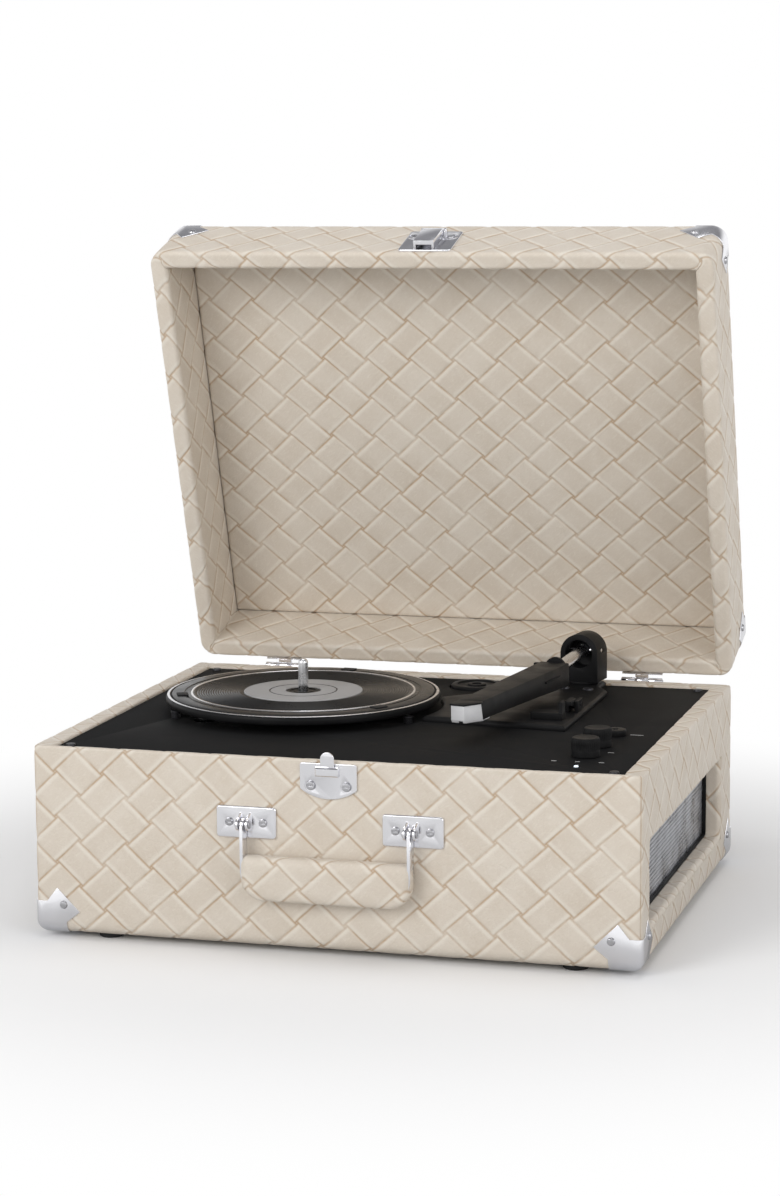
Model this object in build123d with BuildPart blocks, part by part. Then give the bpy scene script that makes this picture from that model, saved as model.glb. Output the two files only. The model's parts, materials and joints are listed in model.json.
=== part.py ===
"""Suitcase record player: a wrapped wooden case with a hinged lid, a belt-driven platter and a tonearm.

Everything is modelled in the case frame, in millimetres: X to the right, Y to the back, Z up, with
z = 0 at the underside of the box.  Lid pieces are modelled with the lid shut and are then turned
open about the hinge pins.  At the end the whole assembly is stood on its feet, centred on its box.
"""
from build123d import *
import os
from math import atan2, cos, pi, radians, sin

os.makedirs("parts", exist_ok=True)

CENTRED = (Align.CENTER, Align.CENTER, Align.CENTER)
ON_TOP = (Align.CENTER, Align.CENTER, Align.MIN)

# ---------------------------------------------------------------- driving dimensions
case_width = 416.0
case_depth = 330.0
base_height = 128.5
lid_height = 62.5
wall = 13.5
front_wall = 4.8
lid_open_angle = 72.6

upright_round = 3.5
base_bottom_round = 8.0
lid_upright_round = 11.0
lid_top_round = 6.0
rim_round = 1.6

floor_thickness = 9.0
deck_drop = 2.0
deck_thickness = 3.0
deck_gap = 0.3
lid_skin = 7.0
lining_thickness = 2.0

spindle_radius = 3.57
shaft_radius = 3.0
platter_radius = 98.0
platter_centre = (-74.5, 13.5)
platter_top = 138.0
mat_thickness = 1.5
spindle_top = 163.0
belt_ring_radius = 56.0
pulley_radius = 5.0

arm_pivot = (102.0, 139.0)
arm_parked_angle = 8.0
arm_axle_height = 155.0

hinge_behind = 5.4
hinge_below_rim = 1.1
hinge_offset = 139.7
hinge_length = 30.5
hinge_pin_radius = 1.3
hinge_barrel_radius = 2.6

handle_pivot_out = 7.5
handle_pivot_height = 84.4
handle_half_span = 57.0

foot_height = 4.0
foot_radius = 8.5
arm_post_radius = 6.0
foot_places = [(sx * 161.0, sy * 147.0) for sx in (-1, 1) for sy in (-1, 1)]

# ---------------------------------------------------------------- sizes that follow
half_width = case_width / 2
half_depth = case_depth / 2
inner_width = case_width - 2 * wall
cavity_front = -half_depth + front_wall
cavity_back = half_depth - wall
cavity_depth = cavity_back - cavity_front
cavity_middle = (cavity_back + cavity_front) / 2
deck_top = base_height - deck_drop
deck_under = deck_top - deck_thickness
lid_top = base_height + lid_height
hinge_y = half_depth + hinge_behind
hinge_z = base_height - hinge_below_rim
front_face = -half_depth
handle_y = front_face - handle_pivot_out
mat_top = platter_top + mat_thickness
px, py = platter_centre
ax, ay = arm_pivot

pieces = []


def keep(builder, name, place=Location()):
    """Label a finished piece, put it where it stands at rest and remember it for writing."""
    builder.part.label = name
    pieces.append((name, builder.part.moved(place)))


def grouped(*builders):
    """Like fasteners from several places, as the separate solids of one node."""
    with BuildPart() as group:
        for builder in builders:
            add(builder.part)
    return group


hinge_line = Location((0, hinge_y, hinge_z))
lid_opened = hinge_line * Location((0, 0, 0), (-lid_open_angle, 0, 0)) * hinge_line.inverse()
arm_turned = Location((ax, ay, 0), (0, 0, -arm_parked_angle))


# ---------------------------------------------------------------- base box
speaker_opening_length = 258.0
speaker_opening_height = 55.0
speaker_middle = (-9.0, 52.5)
jack_panel_x = 70.0
jack_panel_z = 46.0
jack_opening = (84.0, 26.0)
jack_plate = (98.0, 38.0, 1.5)
bottom_flange = 22.0

with BuildPart() as base_case:
    Box(case_width, case_depth, base_height, align=ON_TOP)
    fillet(base_case.edges().filter_by(Axis.Z), upright_round)
    fillet(base_case.faces().sort_by(Axis.Z)[0].edges(), base_bottom_round)
    fillet(base_case.faces().sort_by(Axis.Z)[-1].edges(), rim_round)
    with BuildSketch(Plane.XY.offset(floor_thickness)):
        with Locations((0, cavity_middle)):
            RectangleRounded(inner_width, cavity_depth, 2.0)
    extrude(amount=base_height, mode=Mode.SUBTRACT)
    with BuildSketch(Plane.XY):
        Rectangle(case_width - 2 * wall - 2 * bottom_flange, case_depth - 2 * wall - 2 * bottom_flange)
    extrude(amount=floor_thickness, mode=Mode.SUBTRACT)
    with BuildSketch(Plane.YZ.offset(-half_width - 1)):
        with Locations(speaker_middle):
            RectangleRounded(speaker_opening_length, speaker_opening_height, 4.0)
    extrude(amount=case_width + 2, mode=Mode.SUBTRACT)
    with BuildSketch(Plane.XZ.offset(-half_depth - 1)):
        with Locations((jack_panel_x, jack_panel_z)):
            RectangleRounded(jack_opening[0], jack_opening[1], 3.0)
    extrude(amount=wall + 2, mode=Mode.SUBTRACT)
keep(base_case, "base_case")

bottom_board = 3.0
with BuildPart() as base_bottom_panel:
    with BuildSketch(Plane.XY.offset(floor_thickness)):
        with Locations((0, cavity_middle)):
            RectangleRounded(inner_width - 1, cavity_depth - 1, 2.0)
    extrude(amount=bottom_board)
keep(base_bottom_panel, "base_bottom_panel")

# Wooden battens that carry the deck, glued along the inside of each wall.
batten = 10.0
batten_side_depth = cavity_depth - 2 * batten - 4
with BuildPart() as deck_battens:
    with BuildSketch(Plane.XY.offset(deck_under)):
        for sign in (-1, 1):
            with Locations((sign * (inner_width / 2 - batten / 2), cavity_middle)):
                Rectangle(batten, batten_side_depth)
        for y in (cavity_front + batten / 2, cavity_back - batten / 2):
            with Locations((0, y)):
                Rectangle(inner_width - 6, batten)
        with Locations((ax, cavity_back - batten / 2)):
            Rectangle(2 * arm_post_radius + 4, batten + 1, mode=Mode.SUBTRACT)
    extrude(amount=-batten)
keep(deck_battens, "deck_battens")

with BuildPart() as feet:
    with BuildSketch(Plane.XY):
        with Locations(foot_places):
            Circle(foot_radius)
    extrude(amount=-foot_height)
    fillet(feet.edges().filter_by(GeomType.CIRCLE).group_by(Axis.Z)[0], 1.0)
    with BuildSketch(Plane.XY.offset(-foot_height)):
        with Locations(foot_places):
            Circle(3.6)
    extrude(amount=1.8, mode=Mode.SUBTRACT)
    with BuildSketch(Plane.XY.offset(-foot_height)):
        with Locations(foot_places):
            Circle(1.6)
    extrude(amount=foot_height, mode=Mode.SUBTRACT)
keep(feet, "feet")

with BuildPart() as foot_screws:
    with BuildSketch(Plane.XY.offset(-foot_height + 0.5)):
        with Locations(foot_places):
            Circle(3.4)
            Rectangle(4.0, 0.8, mode=Mode.SUBTRACT)
    extrude(amount=1.3)
    with BuildSketch(Plane.XY.offset(-foot_height + 1.8)):
        with Locations(foot_places):
            Circle(1.5)
    extrude(amount=foot_height - 1.8)
keep(foot_screws, "foot_screws")

# ---------------------------------------------------------------- corner fittings
corner_sheet = 0.8
corner_reach = 31.5
corner_tip = 15.5
corner_notch = (20.0, 6.5)
corner_end = 22.0
rivet_set_back = 20.0


def corner_wing(plane):
    """One notched wing of a corner fitting, as a thick stencil across the face that the plane lies on."""
    with BuildPart() as wing:
        with BuildSketch(plane):
            with BuildLine():
                Polyline(
                    (0, 0),
                    (0, corner_end),
                    (corner_notch[1], corner_notch[0]),
                    (corner_tip, corner_reach),
                    (corner_reach, corner_tip),
                    corner_notch,
                    (corner_end, 0),
                    close=True,
                )
            make_face()
        extrude(amount=2 * corner_sheet, both=True)
    return wing.part


def corner_cutters(low_z, edge_band):
    """The stencil that leaves eight notched wings round the four corners at one height."""
    with BuildPart() as stencil:
        for sx in (-1, 1):
            for sy in (-1, 1):
                at = (sx * half_width, sy * half_depth, low_z)
                up = 1 if low_z < base_height else -1
                add(corner_wing(Plane(origin=at, x_dir=(-sx, 0, 0), z_dir=(0, sx * up, 0))))
                add(corner_wing(Plane(origin=at, x_dir=(0, -sy, 0), z_dir=(-sy * up, 0, 0))))
                add(corner_wing(Plane(origin=at, x_dir=(-sx, 0, 0), z_dir=(0, 0, sx * sy))))
                for size in ((corner_end, edge_band, edge_band), (edge_band, corner_end, edge_band),
                             (edge_band, edge_band, corner_end)):
                    middle = (
                        at[0] - sx * size[0] / 2 + sx,
                        at[1] - sy * size[1] / 2 + sy,
                        at[2] + up * size[2] / 2 - up,
                    )
                    with Locations(middle):
                        Box(size[0] + 2, size[1] + 2, size[2] + 2, align=CENTRED)
    return stencil.part


def wrapped_box(grow, low_z, height, upright, bottom, top):
    """A rounded box that the case or lid fills, grown by a sheet's thickness on every face."""
    with BuildPart() as box:
        with Locations((0, 0, low_z - grow)):
            Box(case_width + 2 * grow, case_depth + 2 * grow, height + 2 * grow, align=ON_TOP)
        fillet(box.edges().filter_by(Axis.Z), upright + grow)
        if bottom:
            fillet(box.faces().sort_by(Axis.Z)[0].edges(), bottom + grow)
        if top:
            fillet(box.faces().sort_by(Axis.Z)[-1].edges(), top + grow)
    return box.part


base_stencil = corner_cutters(0, base_bottom_round + 2)
with BuildPart() as base_corners:
    add(wrapped_box(corner_sheet, 0, base_height, upright_round, base_bottom_round, None))
    add(wrapped_box(0, 0, base_height, upright_round, base_bottom_round, None), mode=Mode.SUBTRACT)
    add(base_stencil, mode=Mode.INTERSECT)
keep(base_corners, "base_corners")

rivet_radius = 2.9
rivet_height = 1.3


def rivets(low_z, up):
    """Domed rivets, one on each wing of the four corner fittings at one height."""
    with BuildPart() as heads:
        for sx in (-1, 1):
            for sy in (-1, 1):
                x = sx * half_width
                y = sy * half_depth
                z = low_z + up * rivet_set_back
                seats = (
                    Plane(origin=(x - sx * rivet_set_back, y + sy * corner_sheet, z), z_dir=(0, sy, 0)),
                    Plane(origin=(x + sx * corner_sheet, y - sy * rivet_set_back, z), z_dir=(sx, 0, 0)),
                    Plane(origin=(x - sx * rivet_set_back, y - sy * rivet_set_back, low_z - up * corner_sheet),
                          z_dir=(0, 0, -up)),
                )
                for seat in seats:
                    with BuildSketch(seat):
                        Circle(rivet_radius)
                    extrude(amount=rivet_height, taper=28)
    return heads


keep(rivets(0, 1), "base_corner_rivets")

# ---------------------------------------------------------------- catch on the front wall
catch_width = 39.0
catch_straight = 17.5
catch_bulge = 6.5
catch_drop = 1.8
catch_sheet = 1.4
catch_screw_half = 12.2
catch_screw_z = 111.5
tongue_width = 9.5
tongue_rise = 6.0

front_plane = Plane(origin=(0, front_face, 0), x_dir=(1, 0, 0), z_dir=(0, -1, 0))


def front_at(out):
    """The plane that stands the given distance in front of the base's front face."""
    return front_plane.offset(out)


with BuildPart() as catch_plate:
    with BuildSketch(front_at(0)):
        top = base_height - catch_drop
        low = top - catch_straight
        half = catch_width / 2
        with BuildLine():
            Line((-half, low), (-half, top))
            Line((-half, top), (half, top))
            Line((half, top), (half, low))
            ThreePointArc((half, low), (0, low - catch_bulge), (-half, low))
        make_face()
    extrude(amount=catch_sheet)
    fillet(catch_plate.edges().filter_by(Axis.Y), 1.8)
    fillet(catch_plate.faces().sort_by(Axis.Y)[0].edges(), 0.5)
    with BuildSketch(front_at(catch_sheet)):
        with Locations((-catch_screw_half, catch_screw_z), (catch_screw_half, catch_screw_z)):
            Circle(3.9)
    extrude(amount=-0.5, mode=Mode.SUBTRACT)
    with BuildSketch(front_at(0)):
        with Locations((-catch_screw_half, catch_screw_z), (catch_screw_half, catch_screw_z)):
            Circle(1.6)
    extrude(amount=catch_sheet, mode=Mode.SUBTRACT)
    with BuildSketch(front_at(catch_sheet)):
        with Locations((0, 121.5)):
            Rectangle(16.0, 6.0)
    extrude(amount=4.2)
    chamfer(catch_plate.faces().sort_by(Axis.Y)[0].outer_wire().edges(), 0.8)
    with BuildSketch(front_at(catch_sheet + 0.9)):
        with Locations((0, 122.5)):
            Rectangle(11.0, 5.0)
    extrude(amount=1.4, mode=Mode.SUBTRACT)
keep(catch_plate, "catch_plate")

with BuildPart() as catch_tongue:
    with BuildSketch(front_at(catch_sheet + 1.0)):
        with BuildLine():
            Line((-tongue_width / 2, 120.4), (tongue_width / 2, 120.4))
            Line((tongue_width / 2, 120.4), (tongue_width / 2, base_height + 1.4))
            ThreePointArc(
                (tongue_width / 2, base_height + 1.4),
                (0, base_height + tongue_rise),
                (-tongue_width / 2, base_height + 1.4),
            )
            Line((-tongue_width / 2, base_height + 1.4), (-tongue_width / 2, 120.4))
        make_face()
    extrude(amount=1.2)
keep(catch_tongue, "catch_tongue")


def screw_group(plane, places, head_radius, head_height, shank_radius, shank_length, slot=0.8):
    """Slotted pan-head screws that stand on one plane, with their shanks going into it."""
    with BuildPart() as screws:
        with BuildSketch(plane):
            with Locations(places):
                Circle(head_radius)
        extrude(amount=head_height, taper=18)
        with BuildSketch(plane.offset(head_height)):
            with Locations(places):
                Rectangle(head_radius * 1.4, slot)
        extrude(amount=-head_height * 0.5, mode=Mode.SUBTRACT)
        if shank_length:
            with BuildSketch(plane):
                with Locations(places):
                    Circle(shank_radius)
            extrude(amount=-shank_length)
    return screws


catch_screws = screw_group(
    front_at(catch_sheet - 0.5),
    [(-catch_screw_half, catch_screw_z), (catch_screw_half, catch_screw_z)],
    3.3, 1.3, 1.5, catch_sheet - 0.5,
)

# ---------------------------------------------------------------- handle
bracket_size = (41.5, 21.5)
bracket_sheet = 1.6
bracket_screw_half = 11.7
ear_gap = 5.0
ear_sheet = 1.6
ear_height = 13.0
strap_thickness = 2.2
strap_width = 10.0
handle_pin_radius = 1.9
bracket_middles = [(-handle_half_span, handle_pivot_height), (handle_half_span, handle_pivot_height)]
bracket_holes = [(x + s * bracket_screw_half, z) for x, z in bracket_middles for s in (-1, 1)]

with BuildPart() as handle_brackets:
    with BuildSketch(front_at(0)):
        with Locations(bracket_middles):
            RectangleRounded(bracket_size[0], bracket_size[1], 2.2)
    extrude(amount=bracket_sheet)
    chamfer(handle_brackets.faces().group_by(Axis.Y)[0].edges(), 0.7)
    for x, z in bracket_middles:
        for side in (-1, 1):
            ear_middle = x + side * (ear_gap / 2 + ear_sheet / 2)
            with BuildSketch(Plane.YZ.offset(ear_middle)):
                with BuildLine():
                    reach = handle_y - 4.2
                    Line((front_face - bracket_sheet, z - ear_height / 2),
                         (front_face - bracket_sheet, z + ear_height / 2))
                    Line((front_face - bracket_sheet, z + ear_height / 2), (handle_y, z + 4.2))
                    ThreePointArc((handle_y, z + 4.2), (reach, z), (handle_y, z - 4.2))
                    Line((handle_y, z - 4.2), (front_face - bracket_sheet, z - ear_height / 2))
                make_face()
            extrude(amount=ear_sheet / 2, both=True)
    with BuildSketch(Plane.YZ.offset(-half_width)):
        with Locations((handle_y, handle_pivot_height)):
            Circle(handle_pin_radius)
    extrude(amount=case_width, mode=Mode.SUBTRACT)
    with BuildSketch(front_at(0)):
        with Locations(bracket_holes):
            Circle(1.6)
    extrude(amount=bracket_sheet + 1, mode=Mode.SUBTRACT)
keep(handle_brackets, "handle_brackets")

with BuildPart() as handle_pins:
    for x, z in bracket_middles:
        with BuildSketch(Plane.YZ.offset(x)):
            with Locations((handle_y, z)):
                Circle(handle_pin_radius - 0.05)
        extrude(amount=ear_gap / 2 + ear_sheet + 0.4, both=True)
        for side in (-1, 1):
            with BuildSketch(Plane.YZ.offset(x + side * (ear_gap / 2 + ear_sheet + 0.1))):
                with Locations((handle_y, z)):
                    Circle(handle_pin_radius + 0.8)
            extrude(amount=side * 0.8)
keep(handle_pins, "handle_pins")

bracket_screws = screw_group(front_at(bracket_sheet), bracket_holes, 2.9, 1.2, 1.5, bracket_sheet)
keep(grouped(catch_screws, bracket_screws), "front_screws")

strap_low = handle_pivot_height - 46.0
strap_bend = 16.0
eye_radius = 3.9
with BuildPart() as handle_strap:
    outer = handle_half_span + strap_thickness / 2
    inner = handle_half_span - strap_thickness / 2
    with BuildSketch(Plane.XZ.offset(-handle_y)):
        with BuildLine():
            FilletPolyline(
                (-outer, handle_pivot_height), (-outer, strap_low), (outer, strap_low),
                (outer, handle_pivot_height), radius=strap_bend,
            )
            FilletPolyline(
                (-inner, handle_pivot_height), (-inner, strap_low + strap_thickness),
                (inner, strap_low + strap_thickness), (inner, handle_pivot_height),
                radius=strap_bend - strap_thickness,
            )
            Line((-outer, handle_pivot_height), (-inner, handle_pivot_height))
            Line((outer, handle_pivot_height), (inner, handle_pivot_height))
        make_face()
    extrude(amount=strap_width / 2, both=True)
    with BuildSketch(Plane.YZ.offset(-outer)):
        with Locations((handle_y, handle_pivot_height)):
            Circle(eye_radius)
    extrude(amount=strap_thickness)
    with BuildSketch(Plane.YZ.offset(inner)):
        with Locations((handle_y, handle_pivot_height)):
            Circle(eye_radius)
    extrude(amount=strap_thickness)
    with BuildSketch(Plane.YZ.offset(-half_width)):
        with Locations((handle_y, handle_pivot_height)):
            Circle(handle_pin_radius + 0.05)
    extrude(amount=case_width, mode=Mode.SUBTRACT)
keep(handle_strap, "handle_strap")

grip_half_length = 58.5
grip_top = 64.0
grip_bottom = 34.0
grip_thickness = 13.6
grip_top_round = 5.0
grip_low_round = 16.5
with BuildPart() as handle_grip:
    with BuildSketch(Plane.XZ.offset(-handle_y)):
        with BuildLine():
            half = grip_half_length
            FilletPolyline(
                (-half, grip_top), (half, grip_top), (half, grip_bottom), (-half, grip_bottom),
                radius=[grip_top_round, grip_top_round, grip_low_round, grip_low_round], close=True,
            )
        make_face()
    extrude(amount=grip_thickness / 2, both=True)
    fillet(handle_grip.faces().sort_by(Axis.Y)[0].edges(), 3.8)
    fillet(handle_grip.faces().sort_by(Axis.Y)[-1].edges(), 3.8)
    add(handle_strap.part, mode=Mode.SUBTRACT)
keep(handle_grip, "handle_grip")

# ---------------------------------------------------------------- hinges
knuckle_gap = 0.4
leaf_thickness = 1.2
leaf_reach = 14.0


def hinge_leaf(side, spans):
    """Knuckles and a leaf on one side of the hinge line; side is -1 for the base and 1 for the lid."""
    with BuildPart() as leaf:
        for middle in (-hinge_offset, hinge_offset):
            for start, end in spans:
                with BuildSketch(Plane.YZ.offset(middle + start)):
                    with Locations((hinge_y, hinge_z)):
                        Circle(hinge_barrel_radius)
                    with BuildLine():
                        Polyline(
                            (hinge_y, hinge_z),
                            (hinge_y - hinge_barrel_radius, hinge_z),
                            (half_depth + 0.05, hinge_z),
                            (half_depth + 0.05, hinge_z + side * 2.4),
                            (hinge_y, hinge_z + side * 2.4),
                            close=True,
                        )
                    make_face()
                extrude(amount=end - start)
            with BuildSketch(Plane.XZ.offset(-half_depth - 0.05)):
                with Locations((middle, hinge_z + side * (1.6 + leaf_reach / 2))):
                    Rectangle(hinge_length, leaf_reach - 1.6)
            extrude(amount=-leaf_thickness)
        with BuildSketch(Plane.YZ.offset(-half_width)):
            with Locations((hinge_y, hinge_z)):
                Circle(hinge_pin_radius + 0.05)
        extrude(amount=case_width, mode=Mode.SUBTRACT)
    return leaf


third = hinge_length / 3
outer_spans = [(-hinge_length / 2, -third / 2 - knuckle_gap / 2), (third / 2 + knuckle_gap / 2, hinge_length / 2)]
inner_spans = [(-third / 2 + knuckle_gap / 2, third / 2 - knuckle_gap / 2)]
keep(hinge_leaf(-1, outer_spans), "hinge_base_leaves")
keep(hinge_leaf(1, inner_spans), "hinge_lid_leaves", lid_opened)

with BuildPart() as hinge_pins:
    for middle in (-hinge_offset, hinge_offset):
        with BuildSketch(Plane.YZ.offset(middle)):
            with Locations((hinge_y, hinge_z)):
                Circle(hinge_pin_radius)
        extrude(amount=hinge_length / 2 + 0.6, both=True)
keep(hinge_pins, "hinge_pins")

rear_plane = Plane(origin=(0, half_depth, 0), x_dir=(-1, 0, 0), z_dir=(0, 1, 0))
hinge_screw_places = [(m + s * 9.0, hinge_z - 9.5) for m in (-hinge_offset, hinge_offset) for s in (-1, 1)]
hinge_base_screws = screw_group(rear_plane.offset(leaf_thickness + 0.05), hinge_screw_places, 2.4, 1.0, 1.0, 0)
lid_screw_places = [(x, hinge_z + 9.5) for x, z in hinge_screw_places]
keep(screw_group(rear_plane.offset(leaf_thickness + 0.05), lid_screw_places, 2.4, 1.0, 1.0, 0),
     "hinge_lid_screws", lid_opened)

# ---------------------------------------------------------------- lid
lid_gap = 0.25
with BuildPart() as lid_case:
    with Locations((0, 0, base_height + lid_gap)):
        Box(case_width, case_depth, lid_height - lid_gap, align=ON_TOP)
    fillet(lid_case.edges().filter_by(Axis.Z), lid_upright_round)
    fillet(lid_case.faces().sort_by(Axis.Z)[-1].edges(), lid_top_round)
    fillet(lid_case.faces().sort_by(Axis.Z)[0].edges(), rim_round * 1.5)
    with BuildSketch(Plane.XY.offset(base_height + lid_gap)):
        RectangleRounded(inner_width, case_depth - 2 * wall + 4, 3.0)
    extrude(amount=lid_height - lid_skin - lid_gap, mode=Mode.SUBTRACT)
keep(lid_case, "lid_case", lid_opened)

with BuildPart() as lid_lining_panel:
    with BuildSketch(Plane.XY.offset(lid_top - lid_skin)):
        RectangleRounded(inner_width - 2, case_depth - 2 * wall + 2, 2.0)
    extrude(amount=-lining_thickness)
keep(lid_lining_panel, "lid_lining_panel", lid_opened)

lid_stencil = corner_cutters(lid_top, lid_upright_round + 2)
with BuildPart() as lid_corners:
    add(wrapped_box(corner_sheet, base_height, lid_height, lid_upright_round, None, lid_top_round))
    add(wrapped_box(0, base_height, lid_height, lid_upright_round, None, lid_top_round), mode=Mode.SUBTRACT)
    add(lid_stencil, mode=Mode.INTERSECT)
keep(lid_corners, "lid_corners", lid_opened)

# ---------------------------------------------------------------- lid latch
latch_size = (39.0, 40.0)
latch_low = base_height + 3.0
latch_sheet = 1.4
hasp_width = 15.0
hasp_length = 27.0
hasp_rise = 6.5
latch_rivets_at = [(-13.5, latch_low + 27.0), (13.5, latch_low + 27.0)]
latch_pin_z = latch_low + 31.0
latch_pin_out = latch_sheet + 3.0
latch_pin_radius = 1.2

with BuildPart() as latch_plate:
    with BuildSketch(front_at(0)):
        with Locations((0, latch_low + latch_size[1] / 2)):
            RectangleRounded(latch_size[0], latch_size[1], 2.5)
    extrude(amount=latch_sheet)
    fillet(latch_plate.faces().sort_by(Axis.Y)[0].edges(), 0.6)
    with BuildSketch(front_at(latch_sheet)):
        with Locations(latch_rivets_at):
            Circle(5.0)
            Circle(4.0, mode=Mode.SUBTRACT)
    extrude(amount=0.5)
    for side in (-1, 1):
        with BuildSketch(Plane.YZ.offset(side * (hasp_width / 2 + 1.1))):
            with Locations((front_face - latch_sheet - 2.4, latch_pin_z)):
                RectangleRounded(5.2, 6.4, 2.0)
            with Locations((front_face - latch_pin_out, latch_pin_z)):
                Circle(latch_pin_radius, mode=Mode.SUBTRACT)
        extrude(amount=0.6, both=True)
keep(latch_plate, "latch_plate", lid_opened)

latch_rivets = screw_group(front_at(latch_sheet), latch_rivets_at, 2.8, 0.9, 1.5, 0)
keep(grouped(rivets(lid_top, -1), latch_rivets), "lid_rivets", lid_opened)

with BuildPart() as latch_hasp:
    hasp_back = front_face - latch_sheet - 0.3
    hasp_face = front_face - latch_sheet - hasp_rise
    with BuildSketch(Plane.YZ):
        with BuildLine():
            Polyline(
                (hasp_back, latch_low + 1.0),
                (hasp_face, latch_low + 1.0),
                (hasp_face, latch_low + hasp_length),
                (hasp_face + 1.8, latch_pin_z + 2.5),
                (front_face - latch_pin_out + 1.0, latch_pin_z + 2.5),
                (front_face - latch_pin_out + 2.2, latch_pin_z + 1.5),
                (hasp_back, latch_pin_z + 0.2),
                close=True,
            )
        make_face()
    extrude(amount=hasp_width / 2, both=True)
    with BuildSketch(Plane.YZ):
        with BuildLine():
            Polyline(
                (hasp_back, latch_low + 2.2),
                (hasp_face + 1.2, latch_low + 2.2),
                (hasp_face + 1.2, latch_low + hasp_length - 0.5),
                (hasp_back, latch_low + hasp_length - 0.5),
                close=True,
            )
        make_face()
    extrude(amount=hasp_width / 2 - 1.2, both=True, mode=Mode.SUBTRACT)
    with BuildSketch(Plane.XY.offset(latch_low)):
        with Locations((0, front_face - latch_sheet - 1.8)):
            Rectangle(11.5, 3.2)
    extrude(amount=8.0, mode=Mode.SUBTRACT)
    with BuildSketch(Plane.YZ):
        with Locations((front_face - latch_pin_out, latch_pin_z)):
            Circle(latch_pin_radius - 0.05)
    extrude(amount=hasp_width / 2 + 2.2, both=True)
keep(latch_hasp, "latch_hasp", lid_opened)

# ---------------------------------------------------------------- speakers
grille_sheet = 1.0
speaker_radius = 32.0
magnet_radius = 18.0
frame_flange = 2.0


def speaker_grille(side):
    """Perforated metal panel screwed to the inside of one side wall."""
    start = inner_width / 2 - 0.02
    with BuildPart() as grille:
        with BuildSketch(Plane.YZ.offset(side * start)):
            with Locations(speaker_middle):
                Rectangle(speaker_opening_length + 12, speaker_opening_height + 12)
        extrude(amount=-side * grille_sheet)
    return grille


keep(grouped(speaker_grille(-1), speaker_grille(1)), "speaker_grilles")

with BuildPart() as speaker_frames:
    for side in (-1, 1):
        start = side * (inner_width / 2 - grille_sheet - 0.1)
        seat = Plane(origin=(start, speaker_middle[0], speaker_middle[1]), x_dir=(0, 1, 0), z_dir=(-side, 0, 0))
        with BuildSketch(seat):
            Circle(speaker_radius + 4)
            Circle(speaker_radius, mode=Mode.SUBTRACT)
        extrude(amount=frame_flange)
        with BuildSketch(seat.offset(frame_flange)):
            Circle(speaker_radius + 1)
            Circle(speaker_radius, mode=Mode.SUBTRACT)
        extrude(amount=15.0)
        with BuildSketch(seat.offset(frame_flange + 15.0)):
            Circle(speaker_radius + 1)
            Circle(8.0, mode=Mode.SUBTRACT)
        extrude(amount=2.0)

with BuildPart() as speaker_cones:
    for side in (-1, 1):
        start = side * (inner_width / 2 - grille_sheet - 2.0)
        seat = Plane(origin=(start, speaker_middle[0], speaker_middle[1]), x_dir=(0, 1, 0), z_dir=(-side, 0, 0))
        with BuildSketch(seat):
            Circle(speaker_radius - 0.5)
        with BuildSketch(seat.offset(13.0)):
            Circle(9.0)
        loft()
        with BuildSketch(seat.offset(-0.01)):
            Circle(speaker_radius - 2.0)
        with BuildSketch(seat.offset(12.0)):
            Circle(7.5)
        loft(mode=Mode.SUBTRACT)
keep(speaker_cones, "speaker_cones")

with BuildPart() as speaker_magnets:
    for side in (-1, 1):
        start = side * (inner_width / 2 - grille_sheet - 0.1 - frame_flange - 17.0 - 0.1)
        seat = Plane(origin=(start, speaker_middle[0], speaker_middle[1]), x_dir=(0, 1, 0), z_dir=(-side, 0, 0))
        with BuildSketch(seat):
            Circle(magnet_radius)
        extrude(amount=11.0)
keep(grouped(speaker_frames, speaker_magnets), "speaker_frames")

# ---------------------------------------------------------------- rear sockets
rca_places = [(jack_panel_x - 30, jack_panel_z), (jack_panel_x - 14, jack_panel_z)]
aux_place = (jack_panel_x + 8, jack_panel_z)
inlet_place = (jack_panel_x + 30, jack_panel_z)
rca_radius = 4.15
aux_bore = 1.8
inlet_bore = 2.75


def rear_spots(places):
    """Places on the rear plane, whose first axis points the other way."""
    return [(-x, z) for x, z in places]


with BuildPart() as rear_jack_plate:
    with BuildSketch(rear_plane):
        with Locations(rear_spots([(jack_panel_x, jack_panel_z)])):
            RectangleRounded(jack_plate[0], jack_plate[1], 4.0)
        with Locations(rear_spots(rca_places)):
            Circle(5.0, mode=Mode.SUBTRACT)
        with Locations(rear_spots([aux_place])):
            Circle(3.2, mode=Mode.SUBTRACT)
        with Locations(rear_spots([inlet_place])):
            Circle(5.6, mode=Mode.SUBTRACT)
    extrude(amount=jack_plate[2])
    chamfer(rear_jack_plate.faces().sort_by(Axis.Y)[-1].outer_wire().edges(), 0.5)
keep(rear_jack_plate, "rear_jack_plate")

plate_screw_places = [(jack_panel_x + s * 44.0, jack_panel_z + t * 14.0) for s in (-1, 1) for t in (-1, 1)]
jack_plate_screws = screw_group(rear_plane.offset(jack_plate[2]), rear_spots(plate_screw_places), 2.4, 1.0, 1.0, 0)
keep(grouped(hinge_base_screws, jack_plate_screws), "rear_screws")

with BuildPart() as rca_jacks:
    with BuildSketch(rear_plane.offset(-8.0)):
        with Locations(rear_spots(rca_places)):
            Circle(4.8)
    extrude(amount=8.0 + jack_plate[2])
    with BuildSketch(rear_plane.offset(jack_plate[2])):
        with Locations(rear_spots(rca_places)):
            Circle(rca_radius)
    extrude(amount=7.5)
    with BuildSketch(rear_plane.offset(jack_plate[2] + 7.5)):
        with Locations(rear_spots(rca_places)):
            Circle(1.7)
    extrude(amount=-9.0, mode=Mode.SUBTRACT)

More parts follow.
